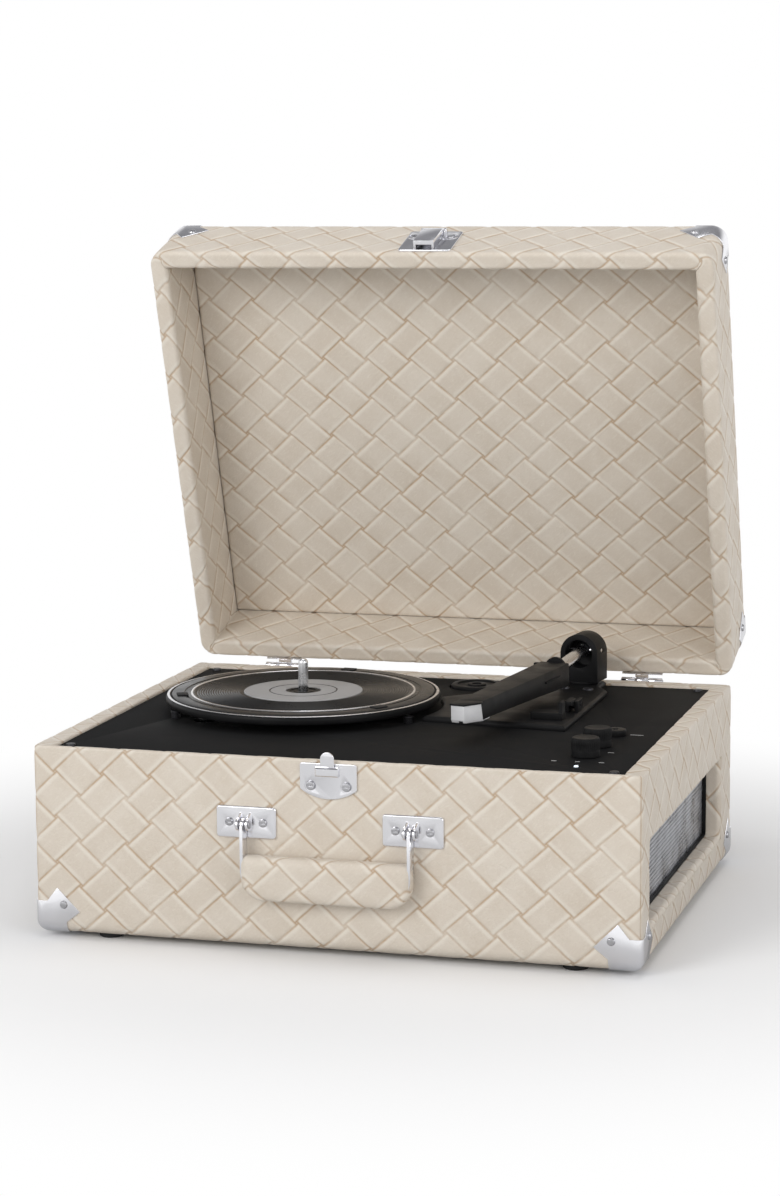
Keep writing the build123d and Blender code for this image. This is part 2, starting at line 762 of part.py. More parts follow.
with BuildPart() as aux_jack:
    with BuildSketch(rear_plane.offset(-12.0)):
        with Locations(rear_spots([aux_place])):
            Circle(3.0)
    extrude(amount=12.0 + jack_plate[2] + 1.0)
    with BuildSketch(rear_plane.offset(jack_plate[2] + 1.0)):
        with Locations(rear_spots([aux_place])):
            Circle(aux_bore)
    extrude(amount=-12.0, mode=Mode.SUBTRACT)
keep(grouped(rca_jacks, aux_jack), "rear_sockets")

with BuildPart() as power_inlet:
    with BuildSketch(rear_plane.offset(-10.0)):
        with Locations(rear_spots([inlet_place])):
            Circle(5.4)
    extrude(amount=10.0 + jack_plate[2] + 0.8)
    with BuildSketch(rear_plane.offset(jack_plate[2] + 0.8)):
        with Locations(rear_spots([inlet_place])):
            Circle(inlet_bore)
            Circle(1.0, mode=Mode.SUBTRACT)
    extrude(amount=-9.0, mode=Mode.SUBTRACT)
keep(power_inlet, "power_inlet")

# ---------------------------------------------------------------- deck
knob_radius = 9.7
knob_height = 12.3
knob_middles = {"selector_knob": (157.3, -102.5), "volume_knob": (157.9, -68.5)}
headphone_at = (162.0, -30.0)
lamp_at = (158.4, -136.0)
adapter_at = (24.5, 125.0)
adapter_radius = 19.0
recess_radius = 20.5
recess_depth = 2.0
motor_angle = radians(228.0)
motor_distance = 80.0
motor_at = (px + motor_distance * cos(motor_angle), py + motor_distance * sin(motor_angle))
bush_radius = 7.0
transit_angles = (216.0, 338.0, 97.0)
transit_distance = 94.5
transit_places = [
    (px + transit_distance * cos(radians(a)), py + transit_distance * sin(radians(a))) for a in transit_angles
]
deck_screw_places = [(-186.5, -150.0), (186.5, -150.0), (186.5, 144.5), (-186.5, 144.5)]

with BuildPart() as deck_panel:
    with BuildSketch(Plane.XY.offset(deck_under)):
        with Locations((0, cavity_middle)):
            RectangleRounded(inner_width - 2 * deck_gap, cavity_depth - 2 * deck_gap, 2.0)
        with Locations((px, py)):
            Circle(bush_radius, mode=Mode.SUBTRACT)
        with Locations(motor_at):
            Circle(pulley_radius + 3, mode=Mode.SUBTRACT)
        with Locations((ax, ay)):
            Circle(arm_post_radius + 0.5, mode=Mode.SUBTRACT)
        with Locations(headphone_at):
            Circle(4.2, mode=Mode.SUBTRACT)
        with Locations(lamp_at):
            Circle(1.6, mode=Mode.SUBTRACT)
        with Locations(list(knob_middles.values())):
            Circle(3.4, mode=Mode.SUBTRACT)
        with Locations(transit_places):
            Circle(2.2, mode=Mode.SUBTRACT)
    extrude(amount=deck_thickness)
    with BuildSketch(Plane.XY.offset(deck_top)):
        with Locations(adapter_at):
            Circle(recess_radius)
    extrude(amount=-recess_depth, mode=Mode.SUBTRACT)
keep(deck_panel, "deck_panel")

corner_deck_screws = screw_group(Plane.XY.offset(deck_top), deck_screw_places, 3.4, 1.3, 1.5, 0)

with BuildPart() as transit_screws:
    with BuildSketch(Plane.XY.offset(deck_top + 3.6)):
        with Locations(transit_places):
            Circle(3.6)
            Rectangle(5.0, 0.9, mode=Mode.SUBTRACT)
    extrude(amount=1.4)
    with BuildSketch(Plane.XY.offset(deck_top + 3.6)):
        with Locations(transit_places):
            Circle(1.8)
    extrude(amount=-14.0)
keep(transit_screws, "transit_screws")

with BuildPart() as transit_springs:
    for ring in range(4):
        with BuildSketch(Plane.XY.offset(deck_top + ring * 0.9)):
            with Locations(transit_places):
                Circle(3.1)
                Circle(2.2, mode=Mode.SUBTRACT)
        extrude(amount=0.5)
        if ring < 3:
            with BuildSketch(Plane.XY.offset(deck_top + ring * 0.9 + 0.5)):
                for place in transit_places:
                    with Locations((place[0] + (2.65 if ring % 2 else -2.65), place[1])):
                        Rectangle(0.6, 1.2)
            extrude(amount=0.4)
keep(transit_springs, "transit_springs")

with BuildPart() as adapter_45:
    with BuildSketch(Plane.XY.offset(deck_top - recess_depth + 0.05)):
        with Locations(adapter_at):
            Circle(adapter_radius)
    extrude(amount=4.2)
    chamfer(adapter_45.faces().sort_by(Axis.Z)[-1].edges(), 1.0)
    with BuildSketch(Plane.XY.offset(deck_top - recess_depth + 4.25)):
        with Locations(adapter_at):
            Circle(14.5)
            Circle(7.0, mode=Mode.SUBTRACT)
    extrude(amount=-1.2, mode=Mode.SUBTRACT)
    with BuildSketch(Plane.XY.offset(deck_top - recess_depth)):
        with Locations(adapter_at):
            Circle(spindle_radius + 0.1)
    extrude(amount=6.0, mode=Mode.SUBTRACT)
keep(adapter_45, "adapter_45")

# ---------------------------------------------------------------- platter and drive
platter_under = 133.0
hub_radius = 12.0
hub_under = 129.0
with BuildPart() as platter:
    with BuildSketch(Plane.XZ.offset(-py)):
        with BuildLine():
            Polyline(
                (px + shaft_radius, hub_under),
                (px + hub_radius, hub_under),
                (px + hub_radius, platter_top - 2.6),
                (px + belt_ring_radius - 3, platter_top - 2.6),
                (px + belt_ring_radius - 3, hub_under + 0.6),
                (px + belt_ring_radius, hub_under + 0.6),
                (px + belt_ring_radius, platter_top - 2.6),
                (px + platter_radius - 6, platter_top - 2.6),
                (px + platter_radius - 6, platter_under),
                (px + platter_radius - 0.8, platter_under),
                (px + platter_radius, platter_under + 1.2),
                (px + platter_radius, platter_top - 0.6),
                (px + platter_radius - 0.8, platter_top),
                (px + shaft_radius, platter_top),
                close=True,
            )
        make_face()
    revolve(axis=Axis((px, py, 0), (0, 0, 1)))
keep(platter, "platter")

mat_inner = 13.0
mat_outer = 94.0
with BuildPart() as platter_mat:
    with BuildSketch(Plane.XY.offset(platter_top)):
        with Locations((px, py)):
            Circle(mat_outer)
            Circle(mat_inner, mode=Mode.SUBTRACT)
    extrude(amount=mat_thickness)
    with BuildSketch(Plane.XY.offset(mat_top)):
        with Locations((px, py)):
            for k in range(10):
                Circle(77.0 - 2.9 * k)
                Circle(76.0 - 2.9 * k, mode=Mode.SUBTRACT)
    extrude(amount=-0.4, mode=Mode.SUBTRACT)
    with BuildSketch(Plane.XY.offset(mat_top)):
        with Locations((px, py)):
            Circle(42.5)
            Circle(mat_inner, mode=Mode.SUBTRACT)
    extrude(amount=-0.6, mode=Mode.SUBTRACT)
keep(platter_mat, "platter_mat")

with BuildPart() as centre_plate:
    with BuildSketch(Plane.XY.offset(mat_top - 0.6)):
        with Locations((px, py)):
            Circle(42.3)
            Circle(mat_inner + 0.1, mode=Mode.SUBTRACT)
    extrude(amount=0.8)
keep(centre_plate, "centre_plate")

pad_angles = (205.0, 85.0, 325.0)
with BuildPart() as platter_pads:
    with BuildSketch(Plane.XY.offset(mat_top)):
        for angle in pad_angles:
            with Locations(Location((px, py, 0), (0, 0, angle))):
                with Locations((86.5, 0)):
                    Rectangle(8.0, 10.0)
    extrude(amount=0.9)
keep(platter_pads, "platter_pads")

shaft_end = 98.0
with BuildPart() as spindle:
    with BuildSketch(Plane.XZ.offset(-py)):
        with BuildLine():
            Line((px, shaft_end), (px + shaft_radius, shaft_end))
            Line((px + shaft_radius, shaft_end), (px + shaft_radius, platter_top))
            Line((px + shaft_radius, platter_top), (px + spindle_radius, platter_top))
            Line((px + spindle_radius, platter_top), (px + spindle_radius, spindle_top - spindle_radius))
            ThreePointArc(
                (px + spindle_radius, spindle_top - spindle_radius),
                (px + spindle_radius * cos(pi / 4), spindle_top - spindle_radius * (1 - sin(pi / 4))),
                (px, spindle_top),
            )
            Line((px, spindle_top), (px, shaft_end))
        make_face()
    revolve(axis=Axis((px, py, 0), (0, 0, 1)))
keep(spindle, "spindle")

bush_bore = shaft_radius + 0.05
bush_bottom = shaft_end - 4.0
with BuildPart() as spindle_bush:
    with BuildSketch(Plane.XY.offset(bush_bottom)):
        with Locations((px, py)):
            Circle(bush_radius - 0.05)
    extrude(amount=deck_top + 1.4 - bush_bottom)
    with BuildSketch(Plane.XY.offset(deck_under - 3)):
        with Locations((px, py)):
            Circle(12.0)
    extrude(amount=2.95)
    with BuildSketch(Plane.XY.offset(shaft_end - 0.1)):
        with Locations((px, py)):
            Circle(bush_bore)
    extrude(amount=40.0, mode=Mode.SUBTRACT)
keep(spindle_bush, "spindle_bush")

with BuildPart() as motor:
    with BuildSketch(Plane.XY.offset(deck_under - 0.1)):
        with Locations(motor_at):
            Circle(17.0)
            Circle(1.05, mode=Mode.SUBTRACT)
    extrude(amount=-24.0)
    with BuildSketch(Plane.XY.offset(deck_under - 24.1)):
        with Locations(motor_at):
            Circle(17.0)
    extrude(amount=-1.5)
keep(motor, "motor")

with BuildPart() as motor_pulley:
    with BuildSketch(Plane.XY.offset(deck_under - 20.0)):
        with Locations(motor_at):
            Circle(1.0)
    extrude(amount=20.0 + deck_thickness + 1.0)
    with BuildSketch(Plane.XY.offset(deck_top + 0.4)):
        with Locations(motor_at):
            Circle(pulley_radius)
    extrude(amount=5.6)
keep(motor_pulley, "motor_pulley")

belt_gap = 0.3
belt_thickness = 0.8
belt_low = 130.2
belt_high = 131.8


def belt_loop(extra):
    """Solid inside the outline round the belt ring and the pulley, standing off both by one amount."""
    big = belt_ring_radius + extra
    small = pulley_radius + extra
    spread = pi / 2 - atan2(big - small, (motor_distance**2 - (big - small) ** 2) ** 0.5)
    towards = motor_angle
    mx, my = motor_at
    first = (px + big * cos(towards + spread), py + big * sin(towards + spread))
    second = (px + big * cos(towards - spread), py + big * sin(towards - spread))
    third_point = (mx + small * cos(towards - spread), my + small * sin(towards - spread))
    fourth = (mx + small * cos(towards + spread), my + small * sin(towards + spread))
    with BuildPart() as loop:
        with BuildSketch(Plane.XY.offset(belt_low)):
            with BuildLine():
                ThreePointArc(first, (px - big * cos(towards), py - big * sin(towards)), second)
                Line(second, third_point)
                ThreePointArc(third_point, (mx + small * cos(towards), my + small * sin(towards)), fourth)
                Line(fourth, first)
            make_face()
        extrude(amount=belt_high - belt_low)
    return loop.part


with BuildPart() as drive_belt:
    add(belt_loop(belt_gap + belt_thickness))
    add(belt_loop(belt_gap), mode=Mode.SUBTRACT)
keep(drive_belt, "drive_belt")

# ---------------------------------------------------------------- knobs, socket and lamp
pot_radius = 8.0
pot_depth = 8.0
board_top = 104.0
for name, (kx, ky) in knob_middles.items():
    with BuildPart() as knob:
        with BuildSketch(Plane.XY.offset(deck_top + 0.6)):
            with Locations((kx, ky)):
                Circle(knob_radius)
        extrude(amount=knob_height)
        fillet(knob.faces().sort_by(Axis.Z)[-1].edges(), 1.2)
        with BuildSketch(Plane.XY.offset(deck_top + 0.6 + knob_height)):
            with Locations((kx, ky - knob_radius * 0.6)):
                Rectangle(1.2, knob_radius * 0.7)
        extrude(amount=-0.4, mode=Mode.SUBTRACT)
        with BuildSketch(Plane.XY.offset(deck_top + 0.6)):
            with Locations((kx, ky)):
                Circle(2.95)
        extrude(amount=-12.0)
    keep(knob, name)

with BuildPart() as potentiometers:
    with BuildSketch(Plane.XY.offset(deck_under - 0.1)):
        with Locations(list(knob_middles.values())):
            Circle(pot_radius)
            Circle(3.0, mode=Mode.SUBTRACT)
    extrude(amount=-pot_depth - 3)
    with BuildSketch(Plane.XY.offset(deck_under - pot_depth - 3.1)):
        with Locations(list(knob_middles.values())):
            Circle(pot_radius)
    extrude(amount=-(deck_under - pot_depth - 3.1 - board_top))

with BuildPart() as circuit_board:
    with BuildSketch(Plane.XY.offset(board_top)):
        with Locations((150.0, -78.0)):
            Rectangle(68.0, 122.0)
    extrude(amount=-1.6)
    with BuildSketch(Plane.XY.offset(board_top - 1.6)):
        with Locations((130.0, -60.0), (138.0, -110.0)):
            Rectangle(14.0, 20.0)
    extrude(amount=-4.0)
keep(grouped(circuit_board, potentiometers), "circuit_board")

with BuildPart() as headphone_jack:
    with BuildSketch(Plane.XY.offset(deck_top)):
        with Locations(headphone_at):
            RegularPolygon(7.6, 12)
    extrude(amount=4.4)
    chamfer(headphone_jack.faces().sort_by(Axis.Z)[-1].edges(), 0.7)
    with BuildSketch(Plane.XY.offset(deck_top)):
        with Locations(headphone_at):
            Circle(4.0)
    extrude(amount=-16.0)
    with BuildSketch(Plane.XY.offset(deck_top + 4.4)):
        with Locations(headphone_at):
            Circle(aux_bore)
    extrude(amount=-16.0, mode=Mode.SUBTRACT)
keep(headphone_jack, "headphone_jack")

with BuildPart() as pilot_lamp:
    with BuildSketch(Plane.XY.offset(deck_under - 4)):
        with Locations(lamp_at):
            Circle(1.5)
    extrude(amount=deck_thickness + 4 + 0.8)
    fillet(pilot_lamp.faces().sort_by(Axis.Z)[-1].edges(), 0.7)
keep(pilot_lamp, "pilot_lamp")

# ---------------------------------------------------------------- tonearm base and rest
arm_plate_height = 4.0
arm_plate_gap = 2.0
with BuildPart() as arm_base_plate:
    with BuildSketch(Plane.XY.offset(deck_top)):
        with BuildLine():
            Polyline(
                (10.0, -13.5), (126.0, -27.0), (126.0, 112.0), (117.0, 127.0), (117.0, 149.0),
                (74.0, 149.0), (60.0, 100.0), (15.0, 60.0),
                close=True,
            )
        make_face()
        with Locations((px, py)):
            Circle(platter_radius + arm_plate_gap, mode=Mode.SUBTRACT)
        with Locations((ax, ay)):
            Circle(arm_post_radius + 0.5, mode=Mode.SUBTRACT)
    extrude(amount=arm_plate_height)
    chamfer(arm_base_plate.faces().sort_by(Axis.Z)[-1].outer_wire().edges(), 1.6)
keep(arm_base_plate, "arm_base_plate")

arm_plate_top = deck_top + arm_plate_height
arm_screw_places = [(94.0, 112.0), (112.0, 110.0)]
arm_base_screws = screw_group(Plane.XY.offset(arm_plate_top), arm_screw_places, 4.0, 1.4, 1.5, 0)
keep(grouped(corner_deck_screws, arm_base_screws), "deck_screws")

housing_low = arm_plate_top + 2.2
with BuildPart() as arm_pivot_post:
    with BuildSketch(Plane.XY.offset(arm_plate_top)):
        with Locations((ax, ay)):
            Circle(11.0)
    extrude(amount=2.0)
    with BuildSketch(Plane.XY.offset(arm_plate_top)):
        with Locations((ax, ay)):
            Circle(arm_post_radius)
    extrude(amount=-14.0)
    with BuildSketch(Plane.XY.offset(arm_plate_top + 2.0)):
        with Locations((ax, ay)):
            Circle(3.0)
    extrude(amount=8.0)
keep(arm_pivot_post, "arm_pivot_post")

rest_middle = (108.2, -2.0)
with BuildPart() as arm_rest:
    with BuildSketch(Plane.XY.offset(arm_plate_top)):
        with Locations(rest_middle):
            RectangleRounded(22.5, 13.0, 1.2)
    extrude(amount=5.0)
    with BuildSketch(Plane.XY.offset(arm_plate_top + 5.0)):
        with Locations((rest_middle[0] + 10.0, rest_middle[1])):
            Rectangle(2.4, 10.0)
    extrude(amount=7.5)
    fillet(arm_rest.faces().sort_by(Axis.Z)[-1].edges().filter_by(Axis.Y), 0.9)

lever_at = (119.5, 30.0)
with BuildPart() as lift_lever_stand:
    with BuildSketch(Plane.XY.offset(arm_plate_top)):
        with Locations(lever_at):
            Rectangle(9.0, 16.0)
            Rectangle(4.2, 16.0, mode=Mode.SUBTRACT)
    extrude(amount=8.0)
    with BuildSketch(Plane.YZ.offset(lever_at[0] - 6)):
        with Locations((lever_at[1], arm_plate_top + 5.0)):
            Circle(1.5)
    extrude(amount=12.0, mode=Mode.SUBTRACT)
keep(grouped(arm_rest, lift_lever_stand), "arm_rest")

with BuildPart() as lift_lever:
    with BuildSketch(Plane.YZ.offset(lever_at[0])):
        with Locations((lever_at[1], arm_plate_top + 5.0)):
            Circle(3.6)
        with BuildLine():
            Polyline(
                (lever_at[1], arm_plate_top + 5.0),
                (lever_at[1] - 3.0, arm_plate_top + 3.4),
                (lever_at[1] - 17.0, arm_plate_top + 6.4),
                (lever_at[1] - 17.0, arm_plate_top + 9.4),
                (lever_at[1], arm_plate_top + 8.4),
                close=True,
            )
        make_face()
    extrude(amount=1.8, both=True)
    with BuildSketch(Plane.YZ.offset(lever_at[0])):
        with Locations((lever_at[1], arm_plate_top + 5.0)):
            Circle(1.45)
    extrude(amount=4.9, both=True)
keep(lift_lever, "lift_lever")

# ---------------------------------------------------------------- tonearm
# The arm is modelled pointing straight to the front from its own pivot at the origin, then turned.
housing_width = 29.0
housing_front = -10.0
housing_back = 11.0
mouth_radius = 10.5
tube_radius = 4.3
tube_length = 52.0
wand_rear = -57.0
wand_tip = -232.0
tube_front_z = 148.0
wand_z_rear = 146.0
wand_z_tip = 148.0

with BuildPart() as arm_housing:
    with BuildSketch(Plane.XZ.offset(-housing_front)):
        with BuildLine():
            half = housing_width / 2
            Line((-half, housing_low), (half, housing_low))
            Line((half, housing_low), (half, arm_axle_height - 2))
            ThreePointArc((half, arm_axle_height - 2), (0, arm_axle_height - 2 + half), (-half, arm_axle_height - 2))
            Line((-half, arm_axle_height - 2), (-half, housing_low))
        make_face()
    extrude(amount=-(housing_back - housing_front))
    fillet(arm_housing.faces().sort_by(Axis.Y)[0].edges().filter_by(Axis.X, reverse=True), 0.8)
    with BuildSketch(Plane.XZ.offset(-housing_front)):
        with Locations((0, arm_axle_height - 2)):
            Circle(mouth_radius)
    extrude(amount=-16.0, mode=Mode.SUBTRACT)
    with BuildSketch(Plane.YZ.offset(-housing_width / 2)):
        with Locations((0, arm_axle_height)):
            Circle(1.55)
    extrude(amount=housing_width, mode=Mode.SUBTRACT)
    with BuildSketch(Plane.XY.offset(housing_low)):
        Circle(3.05)
    extrude(amount=8.2, mode=Mode.SUBTRACT)
keep(arm_housing, "arm_housing", arm_turned)

with BuildPart() as arm_axle:
    with BuildSketch(Plane.YZ):
        with Locations((0, arm_axle_height)):
            Circle(1.5)
    extrude(amount=housing_width / 2 - 0.2, both=True)
keep(arm_axle, "arm_axle", arm_turned)

tube_start = Vector(0, 0, arm_axle_height)
tube_end = Vector(0, wand_rear - 4.0, tube_front_z)
tube_direction = (tube_end - tube_start).normalized()
tube_plane = Plane(origin=tube_start, x_dir=(1, 0, 0), z_dir=tube_direction)
with BuildPart() as arm_tube:
    with BuildSketch(tube_plane):
        Circle(tube_radius)
    extrude(amount=(tube_end - tube_start).length)
    with Locations((0, 0, arm_axle_height)):
        Sphere(tube_radius + 1.2)
    with BuildSketch(Plane.YZ.offset(-housing_width)):
        with Locations((0, arm_axle_height)):
            Circle(1.55)
    extrude(amount=2 * housing_width, mode=Mode.SUBTRACT)
keep(arm_tube, "arm_tube", arm_turned)


wand_sections = [
    (wand_rear, 22.0, 17.0, wand_z_rear + 0.6),
    (wand_rear - 70.0, 20.0, 14.6, wand_z_rear + 1.8),
    (wand_tip + 24.0, 18.0, 12.0, wand_z_tip + 0.8),
]
with BuildPart() as arm_wand:
    for y, width, height, z in wand_sections:
        with BuildSketch(Plane(origin=(0, y, z), x_dir=(1, 0, 0), z_dir=(0, -1, 0))):
            RectangleRounded(width, height, height * 0.22)
    loft(ruled=True)
    with BuildSketch(Plane(origin=(0, wand_tip + 24.0, wand_z_tip + 0.6), x_dir=(1, 0, 0), z_dir=(0, -1, 0))):
        with Locations((0, 2.6)):
            RectangleRounded(18.0, 6.2, 1.8)
    extrude(amount=22.0)
    add(arm_tube.part, mode=Mode.SUBTRACT)
    with BuildSketch(Plane.XY.offset(wand_z_rear + 3.0)):
        with Locations((-13.0, wand_rear - 3.0)):
            RectangleRounded(6.0, 4.0, 1.6)
    extrude(amount=1.6)
keep(arm_wand, "arm_wand", arm_turned)

cartridge_low = 141.6
with BuildPart() as cartridge:
    top_z = wand_z_tip + 0.1
    with BuildSketch(Plane.YZ):
        with BuildLine():
            Polyline(
                (wand_tip, top_z),
                (wand_tip + 20.0, top_z),
                (wand_tip + 20.0, cartridge_low + 1.2),
                (wand_tip + 11.0, cartridge_low),
                (wand_tip + 3.0, cartridge_low),
                (wand_tip + 1.2, cartridge_low + 0.8),
                close=True,
            )
        make_face()
    extrude(amount=8.0, both=True)
    chamfer(cartridge.edges().filter_by(Axis.Z), 1.0)
keep(cartridge, "cartridge", arm_turned)

with BuildPart() as stylus:
    with BuildSketch(Plane.XY.offset(cartridge_low)):
        with Locations((0, wand_tip + 7.0)):
            Rectangle(3.6, 4.0)
    extrude(amount=-0.5)
    with BuildSketch(Plane.XY.offset(cartridge_low - 0.5)):
        with Locations((0, wand_tip + 7.0)):
            Circle(0.5)
    extrude(amount=-0.4, taper=20)
keep(stylus, "stylus", arm_turned)

# ---------------------------------------------------------------- stand the assembly and write it
whole = Compound(children=[part.moved(Location()) for name, part in pieces])
box = whole.bounding_box()
stand = Location((-(box.min.X + box.max.X) / 2, -(box.min.Y + box.max.Y) / 2, -box.min.Z))
print("moved to stand by", stand.position, "size", box.size)
for name, part in pieces:
    placed = part.moved(stand)
    placed.label = name
    export_step(placed, f"parts/{name}.step")
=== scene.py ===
"""Looks of a suitcase record player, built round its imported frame.

Every size is in millimetres of the case's own frame: the origin is under the middle of the shut case, +X to
the right of the front, +Y to the back and +Z up.  Lid pieces are drawn with the lid shut and arm pieces with
the arm pointing straight to the front, and each is then turned about its joint into place.
"""

import json
import logging
import math
from collections.abc import Callable, Sequence
from dataclasses import dataclass, field
from enum import Enum
from functools import cache

import bmesh
import bpy
import numpy as np
from mathutils import Matrix, Vector


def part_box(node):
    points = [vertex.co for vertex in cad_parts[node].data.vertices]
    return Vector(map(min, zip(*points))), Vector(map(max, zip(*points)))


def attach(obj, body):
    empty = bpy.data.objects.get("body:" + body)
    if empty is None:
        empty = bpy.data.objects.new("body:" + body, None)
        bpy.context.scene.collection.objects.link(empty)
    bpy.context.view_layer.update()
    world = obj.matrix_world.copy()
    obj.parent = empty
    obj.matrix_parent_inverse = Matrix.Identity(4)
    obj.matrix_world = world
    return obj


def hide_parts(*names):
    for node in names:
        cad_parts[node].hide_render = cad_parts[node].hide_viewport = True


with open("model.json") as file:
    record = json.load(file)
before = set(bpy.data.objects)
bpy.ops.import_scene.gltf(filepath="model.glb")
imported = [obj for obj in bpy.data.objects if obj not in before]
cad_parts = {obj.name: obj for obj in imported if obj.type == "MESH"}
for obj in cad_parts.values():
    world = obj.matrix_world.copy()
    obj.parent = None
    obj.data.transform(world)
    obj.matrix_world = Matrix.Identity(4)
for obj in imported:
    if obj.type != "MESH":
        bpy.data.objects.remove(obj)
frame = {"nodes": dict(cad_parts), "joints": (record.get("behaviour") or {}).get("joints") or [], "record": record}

LOG = logging.getLogger("record_player")
MM = 0.001
JOIN_GAP = 0.002
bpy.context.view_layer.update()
CASE_LOW, CASE_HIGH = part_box("base_case")
CASE_ORIGIN = Vector(((CASE_LOW.x + CASE_HIGH.x) / 2, (CASE_LOW.y + CASE_HIGH.y) / 2, CASE_LOW.z))
JOINTS = {joint["name"]: joint for joint in frame["joints"]}
NODE_BODY = {node: body for body, nodes in frame["record"]["behaviour"]["bodies"].items() for node in nodes}
NODE_SLOT = {part["node"]: part["material_slot"] for part in frame["record"]["subparts"]}


class Place(Enum):
    """Where a drawn piece belongs: fixed to the case, on the lid, or on the arm."""

    CASE = "case"
    LID = "lid"
    ARM = "arm"

    def matrix(self) -> Matrix:
        """Matrix from millimetres in the case's frame, or the arm's own, to metres in the row's frame."""
        to_row = Matrix.Translation(CASE_ORIGIN) @ Matrix.Scale(MM, 4)
        if self is Place.LID:
            hinge = Vector(JOINTS["lid_hinge"]["pos_m"])
            angle = math.radians(JOINTS["lid_hinge"]["range_deg"][0])
            turn = Matrix.Rotation(angle, 4, "X")
            return Matrix.Translation(hinge) @ turn @ Matrix.Translation(-hinge) @ to_row
        if self is Place.ARM:
            lift = JOINTS["arm_lift"]
            pivot = Vector(JOINTS["arm_swing"]["pos_m"])
            heading = math.atan2(lift["axis"][1], -lift["axis"][0])
            base = Vector((pivot.x, pivot.y, CASE_ORIGIN.z))
            return Matrix.Translation(base) @ Matrix.Rotation(-heading, 4, "Z") @ Matrix.Scale(MM, 4)
        return to_row


# ------------------------------------------------------------------------------------------ node helpers
class Graph:
    """A node tree with short ways to add and join nodes."""

    def __init__(self, tree: bpy.types.NodeTree) -> None:
        """Keeps the tree.

        Args:
            tree: The shader or geometry tree to fill.
        """
        self.tree = tree

    def node(self, kind: str, inputs: dict | None = None, **settings: object) -> bpy.types.Node:
        """Adds a node.

        Args:
            kind: The node's type name.
            inputs: Values or output sockets by input name or index.
            settings: Attributes of the node.

        Returns:
            The new node.
        """
        made = self.tree.nodes.new(kind)
        for name, value in settings.items():
            setattr(made, name, value)
        return self.fill(made, inputs or {})

    def fill(self, node: bpy.types.Node, inputs: dict) -> bpy.types.Node:
        """Sets a node's inputs.

        Args:
            node: The node.
            inputs: Values or output sockets by input name or index.

        Returns:
            The node.
        """
        for name, value in inputs.items():
            if isinstance(value, bpy.types.NodeSocket):
                self.tree.links.new(value, node.inputs[name])
            else:
                node.inputs[name].default_value = value
        return node

    def math(self, operation: str, first: object, second: object = 0.0, third: object = 0.0
             ) -> bpy.types.NodeSocket:
        """Adds a Math node and returns its result.

        Args:
            operation: The Math node's operation.
            first: First value or socket.
            second: Second value or socket.
            third: Third value or socket.

        Returns:
            The result's socket.
        """
        return self.node("ShaderNodeMath", {0: first, 1: second, 2: third}, operation=operation).outputs[0]

    def ramp(self, value: bpy.types.NodeSocket, low: float, high: float, start: float = 0.0,
             end: float = 1.0) -> bpy.types.NodeSocket:
        """Maps a value smoothly from one range to another and returns the result.

        Args:
            value: The value's socket.
            low: Where the result is start.
            high: Where the result is end.
            start: Result at low.
            end: Result at high.

        Returns:
            The result's socket.
        """
        made = self.node("ShaderNodeMapRange", {"Value": value, "From Min": low, "From Max": high,
                                                "To Min": start, "To Max": end},
                         interpolation_type="SMOOTHSTEP")
        return made.outputs["Result"]

    def mix(self, factor: object, first: object, second: object) -> bpy.types.NodeSocket:
        """Mixes two colours and returns the result.

        Args:
            factor: Share of the second colour.
            first: First colour or socket.
            second: Second colour or socket.

        Returns:
            The mixed colour's socket.
        """
        return self.node("ShaderNodeMix", {0: factor, 6: first, 7: second}, data_type="RGBA").outputs[2]

    def noise(self, vector: bpy.types.NodeSocket, scale: object, detail: float, roughness: float = 0.5,
              distortion: float = 0.0) -> bpy.types.Node:
        """Adds a noise texture.

        Args:
            vector: The place's socket.
            scale: Its scale, a value or a socket.
            detail: Its detail.
            roughness: How strong the finer layers are.
            distortion: How much it is stirred.

        Returns:
            The texture's node.
        """
        return self.node("ShaderNodeTexNoise", {"Vector": vector, "Scale": scale, "Detail": detail,
                                                "Roughness": roughness, "Distortion": distortion})


def new_group(name: str, inputs: dict[str, float], outputs: Sequence[str]
              ) -> tuple[Graph, bpy.types.Node, bpy.types.Node]:
    """Starts a shader node group that reads a vector and some numbers.

    Args:
        name: The group's name.
        inputs: Default of each number that it reads, by name.
        outputs: Names of the numbers that it gives.

    Returns:
        The group's graph, its input node and its output node.
    """
    tree = bpy.data.node_groups.new(name, "ShaderNodeTree")
    sockets = tree.interface
    sockets.new_socket(name="Vector", in_out="INPUT", socket_type="NodeSocketVector")
    for label, value in inputs.items():
        sockets.new_socket(name=label, in_out="INPUT", socket_type="NodeSocketFloat").default_value = value
    for label in outputs:
        sockets.new_socket(name=label, in_out="OUTPUT", socket_type="NodeSocketFloat")
    return Graph(tree), tree.nodes.new("NodeGroupInput"), tree.nodes.new("NodeGroupOutput")


def new_material(name: str) -> tuple[bpy.types.Material, Graph, bpy.types.Node]:
    """Starts a material.

    Args:
        name: The material's name.

    Returns:
        The material, its graph and its shader.
    """
    made = bpy.data.materials.new(name)
    made.use_nodes = True
    return made, Graph(made.node_tree), made.node_tree.nodes["Principled BSDF"]


